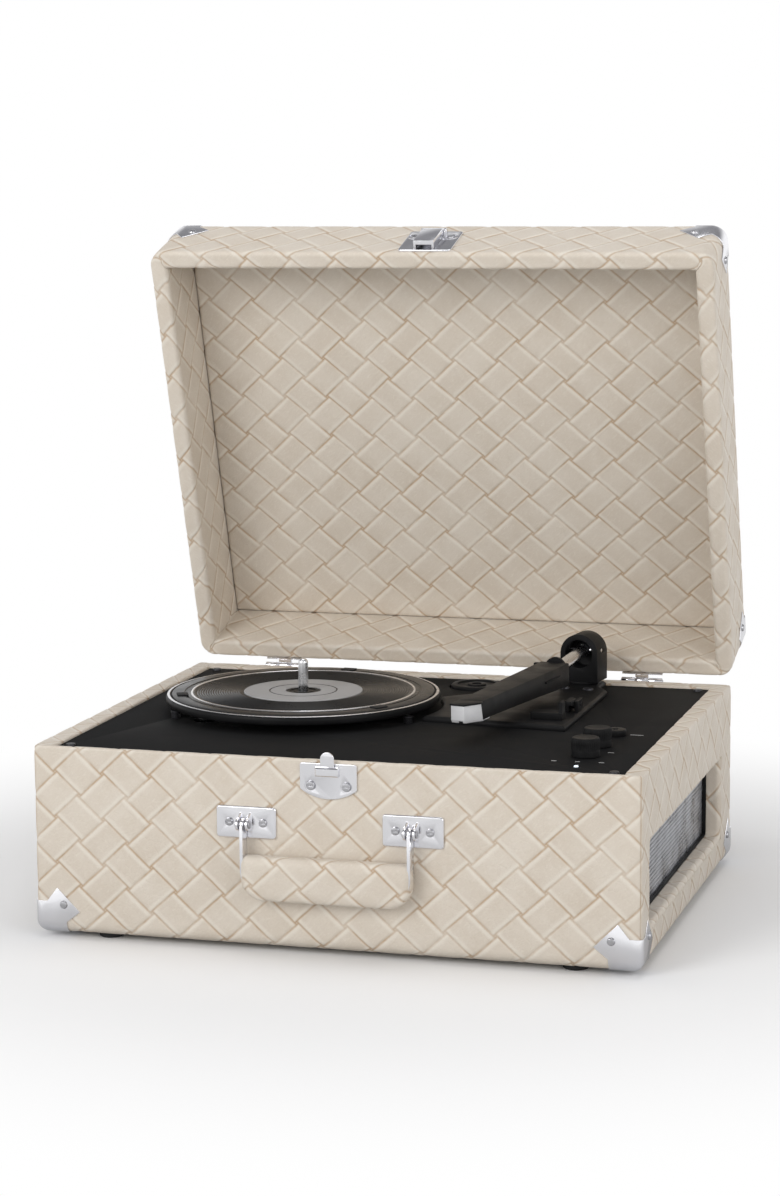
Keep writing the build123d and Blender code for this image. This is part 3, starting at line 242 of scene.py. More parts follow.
def surface_wear_group() -> bpy.types.NodeTree:
    """Builds the group that gives fine grain, soft patches and hairline marks.

    Returns:
        The group's tree.
    """
    graph, start, end = new_group("Surface wear", {"Grain Scale": 900.0, "Patch Scale": 30.0},
                                  ("Grain", "Patches", "Hairlines"))
    vector = start.outputs["Vector"]
    grain = graph.noise(vector, start.outputs["Grain Scale"], 3.0, 0.6)
    patches = graph.noise(vector, start.outputs["Patch Scale"], 4.0, 0.55)
    stretched = graph.node("ShaderNodeMapping", {"Vector": vector, "Rotation": (0.3, 0.5, 0.7),
                                                 "Scale": (60.0, 1600.0, 1600.0)})
    lines = graph.noise(stretched.outputs[0], 1.0, 2.0)
    graph.fill(end, {"Grain": grain.outputs["Fac"], "Patches": graph.ramp(patches.outputs["Fac"], 0.32, 0.7),
                     "Hairlines": graph.ramp(lines.outputs["Fac"], 0.55, 0.75)})
    return graph.tree


def weave_group() -> bpy.types.NodeTree:
    """Builds the group that draws a basket weave of strips one unit wide.

    Returns:
        The group's tree, whose outputs are the groove, the lit edge, the height, a tone for each square and
        the slope towards its ends; the leather paints the lit edge as a highlight and the slope as shade.
    """
    graph, start, end = new_group("Basket weave", {"Groove Width": 0.045, "Waver": 0.03, "Overlap": WEAVE.overlap},
                                  ("Groove", "Lit Edge", "Height", "Tone", "Slope"))
    vector = start.outputs["Vector"]
    noise = graph.noise(vector, 1.3, 2.0)
    centred = graph.node("ShaderNodeVectorMath", {0: noise.outputs["Color"], 1: (0.5, 0.5, 0.5)},
                         operation="SUBTRACT")
    waver = graph.node("ShaderNodeVectorMath", {0: centred.outputs[0], "Scale": start.outputs["Waver"]},
                       operation="SCALE")
    moved = graph.node("ShaderNodeVectorMath", {0: vector, 1: waver.outputs[0]}, operation="ADD")
    split = graph.node("ShaderNodeSeparateXYZ", {0: moved.outputs[0]})
    column = graph.math("FLOOR", split.outputs[0])
    row = graph.math("FLOOR", split.outputs[1])
    odd = graph.math("FLOORED_MODULO", graph.math("ADD", column, row), 2.0)
    across_column = graph.math("ABSOLUTE", graph.math("SUBTRACT", graph.math("FRACT", split.outputs[0]), 0.5))
    across_row = graph.math("ABSOLUTE", graph.math("SUBTRACT", graph.math("FRACT", split.outputs[1]), 0.5))
    difference = graph.math("SUBTRACT", across_column, across_row)
    side = graph.math("MULTIPLY_ADD", difference, odd, across_row)
    along = graph.math("SUBTRACT", graph.math("ADD", across_column, across_row), side)
    overlap = start.outputs["Overlap"]
    to_side = graph.math("SUBTRACT", graph.math("SUBTRACT", 0.5, side), overlap)
    to_end = graph.math("SUBTRACT", 0.5, along)
    own = graph.math("GREATER_THAN", to_side, 0.0)
    end_of_own = graph.math("MULTIPLY", own, graph.math("ADD", to_end, overlap))
    other = graph.math("SUBTRACT", 1.0, own)
    side_gap = graph.math("MULTIPLY_ADD", other, graph.math("ABSOLUTE", graph.math("SUBTRACT", to_end, overlap)),
                          graph.math("MULTIPLY", own, to_side))
    end_gap = graph.math("ADD", end_of_own, graph.math("MULTIPLY", other, graph.math("ABSOLUTE", to_side)))
    width = start.outputs["Groove Width"]
    near_side = graph.math("SUBTRACT", 1.0, graph.math("MINIMUM", graph.math("DIVIDE", side_gap, width), 1.0))
    near_end = graph.math("SUBTRACT", 1.0, graph.math("MINIMUM", graph.math("DIVIDE", end_gap, width), 1.0))
    groove = graph.math("MAXIMUM", near_side, graph.math("MULTIPLY", near_end, 0.8))
    # Painted light: a pale band along the raised edge beside each side groove stands for a highlight, and the slope
    # towards a strip's ends stands for shade.
    lit = graph.math("MULTIPLY", graph.ramp(side_gap, 0.03, 0.07), graph.ramp(side_gap, 0.2, 0.08))
    slope = graph.ramp(end_gap, 0.34, 0.0)
    height = graph.math("MULTIPLY", graph.ramp(side_gap, 0.0, 0.07), graph.ramp(end_gap, 0.0, 0.07))
    cell = graph.node("ShaderNodeCombineXYZ", {0: column, 1: row, 2: 0.37})
    tone = graph.node("ShaderNodeTexWhiteNoise", {"Vector": cell.outputs[0]}, noise_dimensions="3D")
    graph.fill(end, {"Groove": groove, "Lit Edge": lit, "Height": height, "Tone": tone.outputs["Value"],
                     "Slope": slope})
    return graph.tree


# ------------------------------------------------------------------------------------------ finishes
@dataclass(frozen=True)
class Finish:
    """A plain finish with grain, soft patches and hairlines at their real scale."""

    name: str
    colour: tuple[float, float, float]
    roughness: float
    metallic: float = 0.0
    grain_scale: float = 900.0
    grain_depth: float = 0.02
    patch_scale: float = 30.0
    tone_spread: float = 0.12
    rough_spread: float = 0.1
    marks: float = 0.0
    coat: float = 0.0
    emission: float = 0.0
    specular: float = 0.5

    @cache
    def material(self) -> bpy.types.Material:
        """Builds the material once and returns it."""
        made, graph, shader = new_material(self.name)
        wear = graph.node("ShaderNodeGroup", node_tree=bpy.data.node_groups["Surface wear"])
        graph.fill(wear, {"Vector": graph.node("ShaderNodeTexCoord").outputs["Object"],
                          "Grain Scale": self.grain_scale, "Patch Scale": self.patch_scale})
        dark, light = (tuple(min(1.0, c * (1 + side * self.tone_spread)) for c in self.colour) + (1.0,)
                       for side in (-1, 1))
        patchy = graph.ramp(wear.outputs["Patches"], 0.0, 1.0, max(0.03, self.roughness - self.rough_spread / 2),
                            min(1.0, self.roughness + self.rough_spread / 2))
        bump = graph.node("ShaderNodeBump", {"Height": wear.outputs["Grain"], "Strength": 1.0,
                                             "Distance": self.grain_depth * MM})
        graph.fill(shader, {"Base Color": graph.mix(wear.outputs["Patches"], dark, light),
                            "Roughness": graph.math("MULTIPLY_ADD", wear.outputs["Hairlines"], self.marks, patchy),
                            "Normal": bump.outputs[0], "Metallic": self.metallic, "Coat Weight": self.coat,
                            "Specular IOR Level": self.specular})
        if self.emission:
            graph.fill(shader, {"Emission Color": self.colour + (1.0,), "Emission Strength": self.emission})
        return made


@dataclass(frozen=True)
class WovenLeather:
    """Cream leatherette pressed with a basket weave, tan in the grooves."""

    name: str = "woven_leather"
    cream: tuple[float, float, float, float] = (0.705, 0.635, 0.545, 1.0)
    shade: tuple[float, float, float, float] = (0.630, 0.550, 0.455, 1.0)
    tan: tuple[float, float, float, float] = (0.46, 0.305, 0.175, 1.0)
    pale: tuple[float, float, float, float] = (0.80, 0.745, 0.655, 1.0)
    roughness: float = 0.48
    blotch_scale: float = 38.0
    crinkle_scale: float = 150.0
    grain_scale: float = 700.0
    bump: float = 0.12

    @cache
    def material(self) -> bpy.types.Material:
        """Builds the material once and returns it."""
        made, graph, shader = new_material(self.name)
        layout = graph.node("ShaderNodeUVMap", uv_map="weave").outputs[0]
        weave = graph.node("ShaderNodeGroup", node_tree=bpy.data.node_groups["Basket weave"])
        graph.fill(weave, {"Vector": layout})
        place = graph.node("ShaderNodeTexCoord").outputs["Object"]
        blotch = graph.noise(place, self.blotch_scale, 6.0, 0.62).outputs["Fac"]
        streaks = graph.node("ShaderNodeMapping", {"Vector": layout, "Scale": (3.0, 11.0, 1.0)})
        streak = graph.noise(streaks.outputs[0], 2.0, 5.0, 0.7, 1.2).outputs["Fac"]
        crinkle = graph.node("ShaderNodeTexVoronoi", {"Vector": place, "Scale": self.crinkle_scale},
                             feature="DISTANCE_TO_EDGE").outputs["Distance"]
        grain = graph.noise(place, self.grain_scale, 4.0, 0.6).outputs["Fac"]
        tone = graph.math("ADD", graph.math("MULTIPLY", weave.outputs["Tone"], 0.35),
                          graph.math("MULTIPLY", graph.ramp(blotch, 0.35, 0.68), 0.5))
        colour = graph.mix(tone, self.cream, self.shade)
        # The last two mixes paint shade where each strip dips towards its ends and a highlight along the raised edge
        # beside each side groove.
        for mask, share, over in ((graph.ramp(streak, 0.5, 0.7), 0.45, self.pale),
                                  (graph.ramp(streak, 0.45, 0.3), 0.4, self.shade),
                                  (weave.outputs["Slope"], 0.2, self.shade),
                                  (weave.outputs["Lit Edge"], 0.6, self.pale)):
            colour = graph.mix(graph.math("MULTIPLY", mask, share), colour, over)
        broken = graph.ramp(blotch, 0.34, 0.6, 0.3, 0.95)
        # Tan is laid along the grooves and the seams, and the blotches thin it out.
        seam = graph.node("ShaderNodeAttribute", attribute_name="seam")
        tan_lines = graph.math("MAXIMUM", weave.outputs["Groove"], seam.outputs["Fac"])
        fine = graph.math("ADD", graph.math("MULTIPLY", graph.ramp(crinkle, 0.0, 0.12), 0.5),
                          graph.math("MULTIPLY", grain, 0.7))
        folds = graph.math("MULTIPLY", streak, 2.4)
        height = graph.math("ADD", graph.math("ADD", fine, folds),
                            graph.math("MULTIPLY", weave.outputs["Height"], 1.6))
        bump = graph.node("ShaderNodeBump", {"Height": height, "Strength": 1.0, "Distance": self.bump * MM})
        graph.fill(shader, {
            "Base Color": graph.mix(graph.math("MULTIPLY", tan_lines, broken), colour, self.tan),
            "Roughness": graph.ramp(blotch, 0.3, 0.7, self.roughness - 0.07, self.roughness + 0.1),
            "Normal": bump.outputs[0], "Specular IOR Level": 0.4, "Sheen Weight": 0.08, "Sheen Roughness": 0.5})
        return made


FINISHES = {
    "wrap": WovenLeather(),
    "chrome": Finish("bright_nickel", (0.88, 0.88, 0.91), 0.15, 1.0, 500.0, 0.004, 24.0, 0.04, 0.1, 0.05),
    "dark_steel": Finish("blackened_steel", (0.05, 0.05, 0.055), 0.38, 0.85, 800.0, 0.02, 60.0, 0.2, 0.15, 0.1),
    "black_deck": Finish("black_deck_board", (0.015, 0.015, 0.0155), 0.7, 0.0, 1500.0, 0.05, 14.0, 0.12, 0.08,
                         0.03, specular=0.05),
    "black_plastic": Finish("black_moulding", (0.011, 0.011, 0.0115), 0.45, 0.0, 1300.0, 0.02, 40.0, 0.2, 0.12, 0.06,
                            specular=0.11),
    "silver_tube": Finish("polished_tube", (0.78, 0.78, 0.79), 0.24, 1.0, 700.0, 0.004, 40.0, 0.06, 0.12, 0.14),
    "silver_plastic": Finish("silver_moulding", (0.66, 0.66, 0.67), 0.45, 0.1, 1600.0, 0.012, 60.0, 0.05, 0.1, 0.05),
    "rubber": Finish("black_rubber", (0.02, 0.02, 0.021), 0.62, 0.0, 1100.0, 0.05, 70.0, 0.25, 0.14, 0.0,
                     specular=0.25),
    "grille_metal": Finish("grille_steel", (0.66, 0.67, 0.71), 0.34, 0.8, 900.0, 0.01, 50.0, 0.12, 0.15, 0.1),
    "cone_paper": Finish("cone_paper", (0.035, 0.035, 0.038), 0.85, 0.0, 600.0, 0.12, 40.0, 0.3, 0.1, 0.0),
    "brass": Finish("turned_brass", (0.72, 0.55, 0.28), 0.3, 1.0, 900.0, 0.01, 40.0, 0.1, 0.1, 0.1),
    "socket_metal": Finish("plated_socket", (0.70, 0.70, 0.71), 0.26, 1.0, 900.0, 0.01, 40.0, 0.08, 0.1, 0.1),
    "green_board": Finish("circuit_board", (0.02, 0.14, 0.06), 0.4, 0.0, 700.0, 0.02, 80.0, 0.25, 0.1, 0.0, 0.4),
    "needle": Finish("stylus_moulding", (0.06, 0.06, 0.065), 0.3, 0.0, 1200.0, 0.01, 90.0, 0.1, 0.1, 0.0, 0.3),
    "lamp": Finish("lamp_lens", (0.78, 0.88, 1.0), 0.12, 0.0, 800.0, 0.004, 90.0, 0.05, 0.05, 0.0, 0.0, 0.9),
    "board": Finish("raw_board", (0.30, 0.20, 0.12), 0.72, 0.0, 260.0, 0.2, 16.0, 0.3, 0.15, 0.0),
}
GROOVED_RUBBER = Finish("record_mat", (0.014, 0.014, 0.0145), 0.3, 0.0, 1500.0, 0.006, 50.0, 0.2, 0.06, 0.03,
                        specular=0.22)
PLATTER_EDGE = Finish("bright_ring", (0.78, 0.78, 0.80), 0.24, 0.9, 900.0, 0.006, 60.0, 0.06, 0.1, 0.05)
LABEL_GREY = Finish("label_grey", (0.37, 0.37, 0.375), 0.5, 0.0, 1400.0, 0.012, 60.0, 0.05, 0.08, 0.04,
                    specular=0.3)
SCREW_STEEL = Finish("screw_steel", (0.50, 0.50, 0.52), 0.3, 1.0, 900.0, 0.01, 60.0, 0.1, 0.12, 0.1)
PRINT_WHITE = Finish("printed_tick", (0.75, 0.75, 0.75), 0.5, 0.0, 1400.0, 0.004, 90.0, 0.05, 0.05, 0.0)


# ------------------------------------------------------------------------------------------ mesh helpers
def placed(name: str, data: bpy.types.ID) -> bpy.types.Object:
    """Puts a mesh, a camera or a light into the scene and returns its object."""
    made = bpy.data.objects.new(name, data)
    bpy.context.scene.collection.objects.link(made)
    return made


def piece_from(name: str, mesh: bpy.types.Mesh, body: str, slot: str, replaces: Sequence[str] = (),
               finish: Finish | None = None, sharp_angle: float = 35.0) -> bpy.types.Object:
    """Puts a finished mesh into the scene as a piece.

    Args:
        name: The piece's name.
        mesh: Its mesh, in metres of the row's frame.
        body: The body that it moves with.
        slot: The record's material slot.
        replaces: The frame's nodes that it stands for.
        finish: The finish of every face, or None for the slot's own.
        sharp_angle: Edges turning by more degrees than this stay sharp.

    Returns:
        The piece.
    """
    piece = placed(name, mesh)
    mesh.materials.clear()
    mesh.materials.append((finish or FINISHES[slot]).material())
    mesh.shade_smooth()
    mesh.set_sharp_from_angle(angle=math.radians(sharp_angle))
    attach(piece, body)
    if replaces:
        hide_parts(*replaces)
    LOG.info("%s: %d faces on %s", name, len(mesh.polygons), body)
    return piece


def baked(source: bpy.types.Object) -> bpy.types.Mesh:
    """Gives an object's mesh with its modifiers applied, and removes the object.

    Args:
        source: The object to evaluate.

    Returns:
        The plain mesh.
    """
    depsgraph = bpy.context.evaluated_depsgraph_get()
    depsgraph.update()
    mesh = bpy.data.meshes.new_from_object(source.evaluated_get(depsgraph))
    bpy.data.objects.remove(source)
    return mesh


def refine(node: str, edge: float, finish: Finish | None = None) -> bpy.types.Object:
    """Replaces a hard-edged frame node with a copy whose edges are rounded.

    Args:
        node: The frame's node.
        edge: Width of the rounding.
        finish: Its finish, or None for its slot's.

    Returns:
        The piece that stands for the node.
    """
    shape = bmesh.new()
    shape.from_mesh(frame["nodes"][node].data)
    bmesh.ops.remove_doubles(shape, verts=shape.verts, dist=JOIN_GAP * MM)
    bmesh.ops.dissolve_limit(shape, angle_limit=math.radians(0.5), verts=shape.verts, edges=shape.edges)
    mesh = bpy.data.meshes.new(node + "_shape")
    shape.to_mesh(mesh)
    shape.free()
    for layer in list(mesh.uv_layers):
        mesh.uv_layers.remove(layer)
    draft = placed(node + "_draft", mesh)
    bevel = draft.modifiers.new("edge", "BEVEL")
    bevel.width = edge * MM
    bevel.segments = 2
    bevel.limit_method = "ANGLE"
    bevel.angle_limit = math.radians(32)
    return piece_from(node + "_finished", baked(draft), NODE_BODY[node], NODE_SLOT[node], [node], finish)


def mended(mesh: bpy.types.Mesh, edge: float = 0.0) -> bpy.types.Mesh:
    """Turns a mesh's faces outwards and rounds its edges.

    Args:
        mesh: The mesh, which is changed.
        edge: Width of the rounding, or 0 for none.

    Returns:
        The same mesh.
    """
    shape = bmesh.new()
    shape.from_mesh(mesh)
    bmesh.ops.recalc_face_normals(shape, faces=shape.faces)
    if edge:
        turned = [e for e in shape.edges if e.calc_face_angle(0.0) > math.radians(20)]
        bmesh.ops.bevel(shape, geom=turned, offset=edge * MM, segments=2, affect="EDGES", profile=0.5)
    shape.to_mesh(mesh)
    shape.free()
    return mesh


def drawn_mesh(name: str, points: np.ndarray, faces: Sequence[Sequence[int]], place: Place) -> bpy.types.Mesh:
    """Makes a mesh from points in millimetres.

    Args:
        name: The mesh's name.
        points: An array of points.
        faces: Point numbers of each face, turning so that it points outwards.
        place: Where it belongs.

    Returns:
        The mesh in metres of the row's frame.
    """
    mesh = bpy.data.meshes.new(name)
    mesh.from_pydata([tuple(p) for p in points], [], [tuple(f) for f in faces])
    mesh.transform(place.matrix())
    mesh.validate()
    return mesh


def revolved(name: str, profile: Sequence[tuple[float, float]], middle: tuple[float, float], steps: int,
             place: Place, ripple: Callable[[float, int], float] | None = None) -> bpy.types.Mesh:
    """Turns an outline about an upright axis.

    Args:
        name: The mesh's name.
        profile: Radius and height of each point, from the top's middle outwards and round to the bottom.
        middle: Where the axis stands.
        steps: How many faces go round.
        place: Where it belongs.
        ripple: Gives a radius's change from the angle and the point's number.

    Returns:
        The mesh, closed where the outline begins and ends on the axis or meets itself.
    """
    rings = []
    for index, (radius, height) in enumerate(profile):
        for step in range(steps):
            angle = 2 * math.pi * step / steps
            reach = radius + (ripple(angle, index) if ripple and radius else 0.0)
            rings.append((middle[0] + reach * math.cos(angle), middle[1] + reach * math.sin(angle), height))
    faces = []
    for index in range(len(profile) - 1):
        for step in range(steps):
            after = (step + 1) % steps
            a, b = index * steps + step, index * steps + after
            faces.append((a, a + steps, b + steps, b))
    mesh = drawn_mesh(name, np.array(rings), faces, place)
    shape = bmesh.new()
    shape.from_mesh(mesh)
    bmesh.ops.remove_doubles(shape, verts=shape.verts, dist=JOIN_GAP * MM)
    shape.to_mesh(mesh)
    shape.free()
    return mended(mesh)


def lofted(name: str, rings: Sequence[Sequence[tuple[float, float, float]]], place: Place, edge: float
           ) -> bpy.types.Mesh:
    """Joins closed rings of points into a solid with rounded edges.

    Args:
        name: The mesh's name.
        rings: Rings with the same number of points each.
        place: Where it belongs.
        edge: Width of the rounding.

    Returns:
        The mesh.
    """
    count = len(rings[0])
    faces = [tuple(range(count)), tuple(range((len(rings) - 1) * count, len(rings) * count))]
    for index in range(len(rings) - 1):
        for k in range(count):
            a, b = index * count + k, index * count + (k + 1) % count
            faces.append((a, b, b + count, a + count))
    return mended(drawn_mesh(name, np.array(rings).reshape(-1, 3), faces, place), edge)


# ------------------------------------------------------------------------------------------ woven sheets
@dataclass(frozen=True)
class Weave:
    """The pressed basket weave: strips at 45 degrees, each over one and under the next."""

    strip: float = 22.0
    wider: float = 1.08
    relief: float = 0.4
    overlap: float = 0.035
    lines: tuple[float, ...] = (0.0, 0.035, 0.08, 0.2, 0.5, 0.8, 0.92, 0.965)

    @property
    def period(self) -> float:
        """Gives the distance along a sheet after which the pattern repeats."""
        return self.strip * math.sqrt(2) * self.wider

    def units(self, along: np.ndarray, up: np.ndarray) -> tuple[np.ndarray, np.ndarray]:
        """Gives the place in strip widths along the two strip directions.

        Args:
            along: Distances along the sheet.
            up: Distances up the sheet.

        Returns:
            The two coordinates in strip widths.
        """
        side = self.strip * math.sqrt(2)
        return (along / self.wider + up) / side, (up - along / self.wider) / side

    def drop(self, first: np.ndarray, second: np.ndarray) -> np.ndarray:
        """Gives how far the surface lies below its highest squares.

        Args:
            first: First coordinate in strip widths.
            second: Second coordinate in strip widths.

        Returns:
            The depth in millimetres.
        """
        column, row = np.floor(first + 1e-9), np.floor(second + 1e-9)
        odd = np.mod(column + row, 2)
        across_column, across_row = np.abs(first - column - 0.5), np.abs(second - row - 0.5)
        to_side = 0.5 - np.where(odd > 0.5, across_column, across_row) - self.overlap
        to_end = 0.5 - np.where(odd > 0.5, across_row, across_column)
        side_gap = np.where(to_side > 0, to_side, np.abs(to_end - self.overlap))
        end_gap = np.where(to_side > 0, to_end + self.overlap, np.abs(to_side))

        def smooth(value: np.ndarray, width: float) -> np.ndarray:
            share = np.clip(value / width, 0, 1)
            return share * share * (3 - 2 * share)

        height = smooth(side_gap, 0.065) * (0.6 * smooth(end_gap, 0.065) + 0.4 * smooth(end_gap, 0.28))
        return self.relief * (1 - height)


WEAVE = Weave()
Mapper = Callable[[np.ndarray, np.ndarray], tuple[np.ndarray, np.ndarray]]


@dataclass
class WovenSheet:
    """A flat sheet of woven leatherette, cut out and laid over a shape."""

    name: str
    along: tuple[float, float]
    up: tuple[float, float]
    mapper: Mapper
    place: Place
    folds_along: Sequence[float] = ()
    folds_up: Sequence[float] = ()
    windows: Sequence[tuple[float, float, float, float]] = ()
    thickness: float = 1.2
    joined: bool = False
    clipped_corner: float = 0.0
    phase: tuple[float, float] = (0.0, 0.0)
    seams: Sequence[float] = ()
    seam_width: float = 0.55
    seam_depth: float = 0.45

    def units(self, along: np.ndarray, up: np.ndarray) -> tuple[np.ndarray, np.ndarray]:
        """Gives places on this sheet in strip widths, with the pattern moved by the sheet's phase."""
        return WEAVE.units(along + self.phase[0], up + self.phase[1])

    def lattice(self) -> bmesh.types.BMesh:
        """Draws the diamond lattice flat and cuts it to the sheet's edges, folds and windows."""
        unit = WEAVE.strip
        corners = [self.units(np.array(a), np.array(u)) for a in self.along for u in self.up]
        lines = [[cell + part for cell in range(math.floor(min(places)) - 1, math.ceil(max(places)) + 1)
                  for part in WEAVE.lines] for places in zip(*corners)]
        grid_p, grid_q = np.meshgrid(*lines, indexing="ij")
        half = unit / math.sqrt(2)
        along = (grid_p - grid_q) * half * WEAVE.wider - self.phase[0]
        up = (grid_p + grid_q) * half - self.phase[1]
        margin = unit * 0.4
        inside = ((along > self.along[0] - margin) & (along < self.along[1] + margin)
                  & (up > self.up[0] - margin) & (up < self.up[1] + margin))
        number = np.full(inside.shape, -1)
        number[inside] = np.arange(inside.sum())
        quads = np.stack([number[:-1, :-1], number[1:, :-1], number[1:, 1:], number[:-1, 1:]], -1).reshape(-1, 4)
        quads = quads[(quads >= 0).all(1)]
        mesh = bpy.data.meshes.new(self.name)
        points = np.stack([along[inside], up[inside], np.zeros(inside.sum())], -1)
        mesh.from_pydata(points.tolist(), [], quads.tolist())
        shape = bmesh.new()
        shape.from_mesh(mesh)
        bpy.data.meshes.remove(mesh)

        def cut(point: tuple[float, float, float], normal: tuple[float, float, float], trim: bool) -> None:
            bmesh.ops.bisect_plane(shape, geom=shape.verts[:] + shape.edges[:] + shape.faces[:], dist=1e-4,
                                   plane_co=point, plane_no=normal, clear_outer=trim)

        for edge, sign in zip(self.along, (-1, 1)):
            cut((edge, 0, 0), (sign, 0, 0), True)
        for edge, sign in zip(self.up, (-1, 1)):
            cut((0, edge, 0), (0, sign, 0), True)
        if self.clipped_corner:
            for a, sign_a in zip(self.along, (-1, 1)):
                for u, sign_u in zip(self.up, (-1, 1)):
                    cut((a - sign_a * self.clipped_corner, u, 0), (sign_a, sign_u, 0), True)
        sewn = [seam + side * self.seam_width for seam in self.seams for side in (-1, 0, 1)]
        for fold in [*self.folds_along, *sewn]:
            cut((fold, 0, 0), (1, 0, 0), False)
        for fold in self.folds_up:
            cut((0, fold, 0), (0, 1, 0), False)
        for low_a, high_a, low_u, high_u in self.windows:
            for edge in (low_a, high_a):
                cut((edge, 0, 0), (1, 0, 0), False)
            for edge in (low_u, high_u):
                cut((0, edge, 0), (0, 1, 0), False)
            gone = [f for f in shape.faces if low_a < f.calc_center_median().x < high_a
                    and low_u < f.calc_center_median().y < high_u]
            bmesh.ops.delete(shape, geom=gone, context="FACES")
        return shape

    def build(self, body: str, replaces: Sequence[str] = ()) -> bpy.types.Object:
        """Lays the cut sheet over its shape, gives it relief and thickness, and makes the piece.

        Args:
            body: The body that it moves with.
            replaces: The frame's nodes that it stands for.

        Returns:
            The piece.
        """
        shape = self.lattice()
        flat = np.array([v.co for v in shape.verts])
        first, second = self.units(flat[:, 0], flat[:, 1])
        layer = shape.loops.layers.uv.new("weave")
        for face in shape.faces:
            for loop in face.loops:
                number = loop.vert.index
                loop[layer].uv = (first[number], second[number])
        sewn = np.zeros(len(flat))
        for seam in self.seams:
            sewn = np.maximum(sewn, 1 - np.abs(flat[:, 0] - seam) / self.seam_width)
        points, normals = self.mapper(flat[:, 0], flat[:, 1])
        laid = points - normals * (WEAVE.drop(first, second) + self.seam_depth * sewn)[:, None]
        stitch = shape.verts.layers.float.new("seam")
        for vert, point, depth in zip(shape.verts, laid, sewn):
            vert.co = point
            vert[stitch] = depth
        if self.joined:
            bmesh.ops.remove_doubles(shape, verts=[v for v in shape.verts if v.is_boundary], dist=0.01)
        mesh = bpy.data.meshes.new(self.name)
        shape.to_mesh(mesh)
        shape.free()
        mesh.transform(self.place.matrix())
        draft = placed(self.name + "_draft", mesh)
        skin = draft.modifiers.new("skin", "SOLIDIFY")
        skin.thickness = self.thickness * MM
        skin.offset = -1.0
        return piece_from(self.name, baked(draft), body, "wrap", replaces, sharp_angle=60.0)


@dataclass
class Ring:
    """A rounded rectangle in plan that a sheet is laid round, with its own inset at each height."""

    half_width: float
    half_depth: float
    radius: float
    least_radius: float

    @property
    def stretch(self) -> float:
        """Gives how much longer the sheet is than the outline, so that its pattern meets itself."""
        true = 4 * (self.half_width + self.half_depth) - (8 - 2 * math.pi) * self.radius
        return round(true / WEAVE.period) * WEAVE.period / true

    def breaks(self) -> np.ndarray:
        """Gives the distances along the sheet where straight stretches and corners meet."""
        across = 2 * (self.half_width - self.radius)
        deep = 2 * (self.half_depth - self.radius)
        arc = math.pi / 2 * self.radius
        return np.cumsum([0.0, across / 2, arc, deep, arc, across, arc, deep, arc, across / 2]) * self.stretch

    def points(self, along: np.ndarray, side: np.ndarray, front: np.ndarray) -> tuple[np.ndarray, np.ndarray]:
        """Gives places on the inset outline and the outward directions there.

        Args:
            along: Distances round the outer outline, from the middle of the back towards the left.
            side: Insets of the back and the two sides.
            front: Insets of the front.

        Returns:
            Plan positions and outward directions.
        """
        breaks = self.breaks()
        part = np.clip(np.searchsorted(breaks, along, side="right") - 1, 0, 8)
        share = (along - breaks[part]) / (breaks[part + 1] - breaks[part])
        radius = np.maximum(self.radius - side, self.least_radius)
        left, right = -self.half_width + side, self.half_width - side
        low, high = -self.half_depth + front, self.half_depth - side
        zero = np.zeros_like(side)
        corners = {1: (left + radius, high - radius, 90.0), 3: (left + radius, low + radius, 180.0),
                   5: (right - radius, low + radius, 270.0), 7: (right - radius, high - radius, 0.0)}
        runs = {0: ((zero, high), (left + radius, high), 90.0),
                2: ((left, high - radius), (left, low + radius), 180.0),
                4: ((left + radius, low), (right - radius, low), 270.0),
                6: ((right, low + radius), (right, high - radius), 0.0),
                8: ((right - radius, high), (zero, high), 90.0)}
        spot = np.zeros((len(along), 2))
        out = np.zeros((len(along), 2))
        for index, (x, y, start) in corners.items():
            here = part == index
            angle = np.radians(start + 90.0 * share[here])
            direction = np.stack([np.cos(angle), np.sin(angle)], -1)
            out[here] = direction
            spot[here] = np.stack([x, y], -1)[here] + direction * radius[here][:, None]
        for index, (begin, end, heading) in runs.items():
            here = part == index
            begins, ends = np.stack(begin, -1)[here], np.stack(end, -1)[here]
            spot[here] = begins + (ends - begins) * share[here][:, None]
            out[here] = (math.cos(math.radians(heading)), math.sin(math.radians(heading)))
        return spot, out

    def folds(self, steps: int = 4) -> list[float]:
        """Gives where the sheet needs edges so that it can bend round the corners."""
        breaks = self.breaks()
        made = []
        for index in (1, 3, 5, 7):
            made += list(np.linspace(breaks[index], breaks[index + 1], steps + 1))
        return made


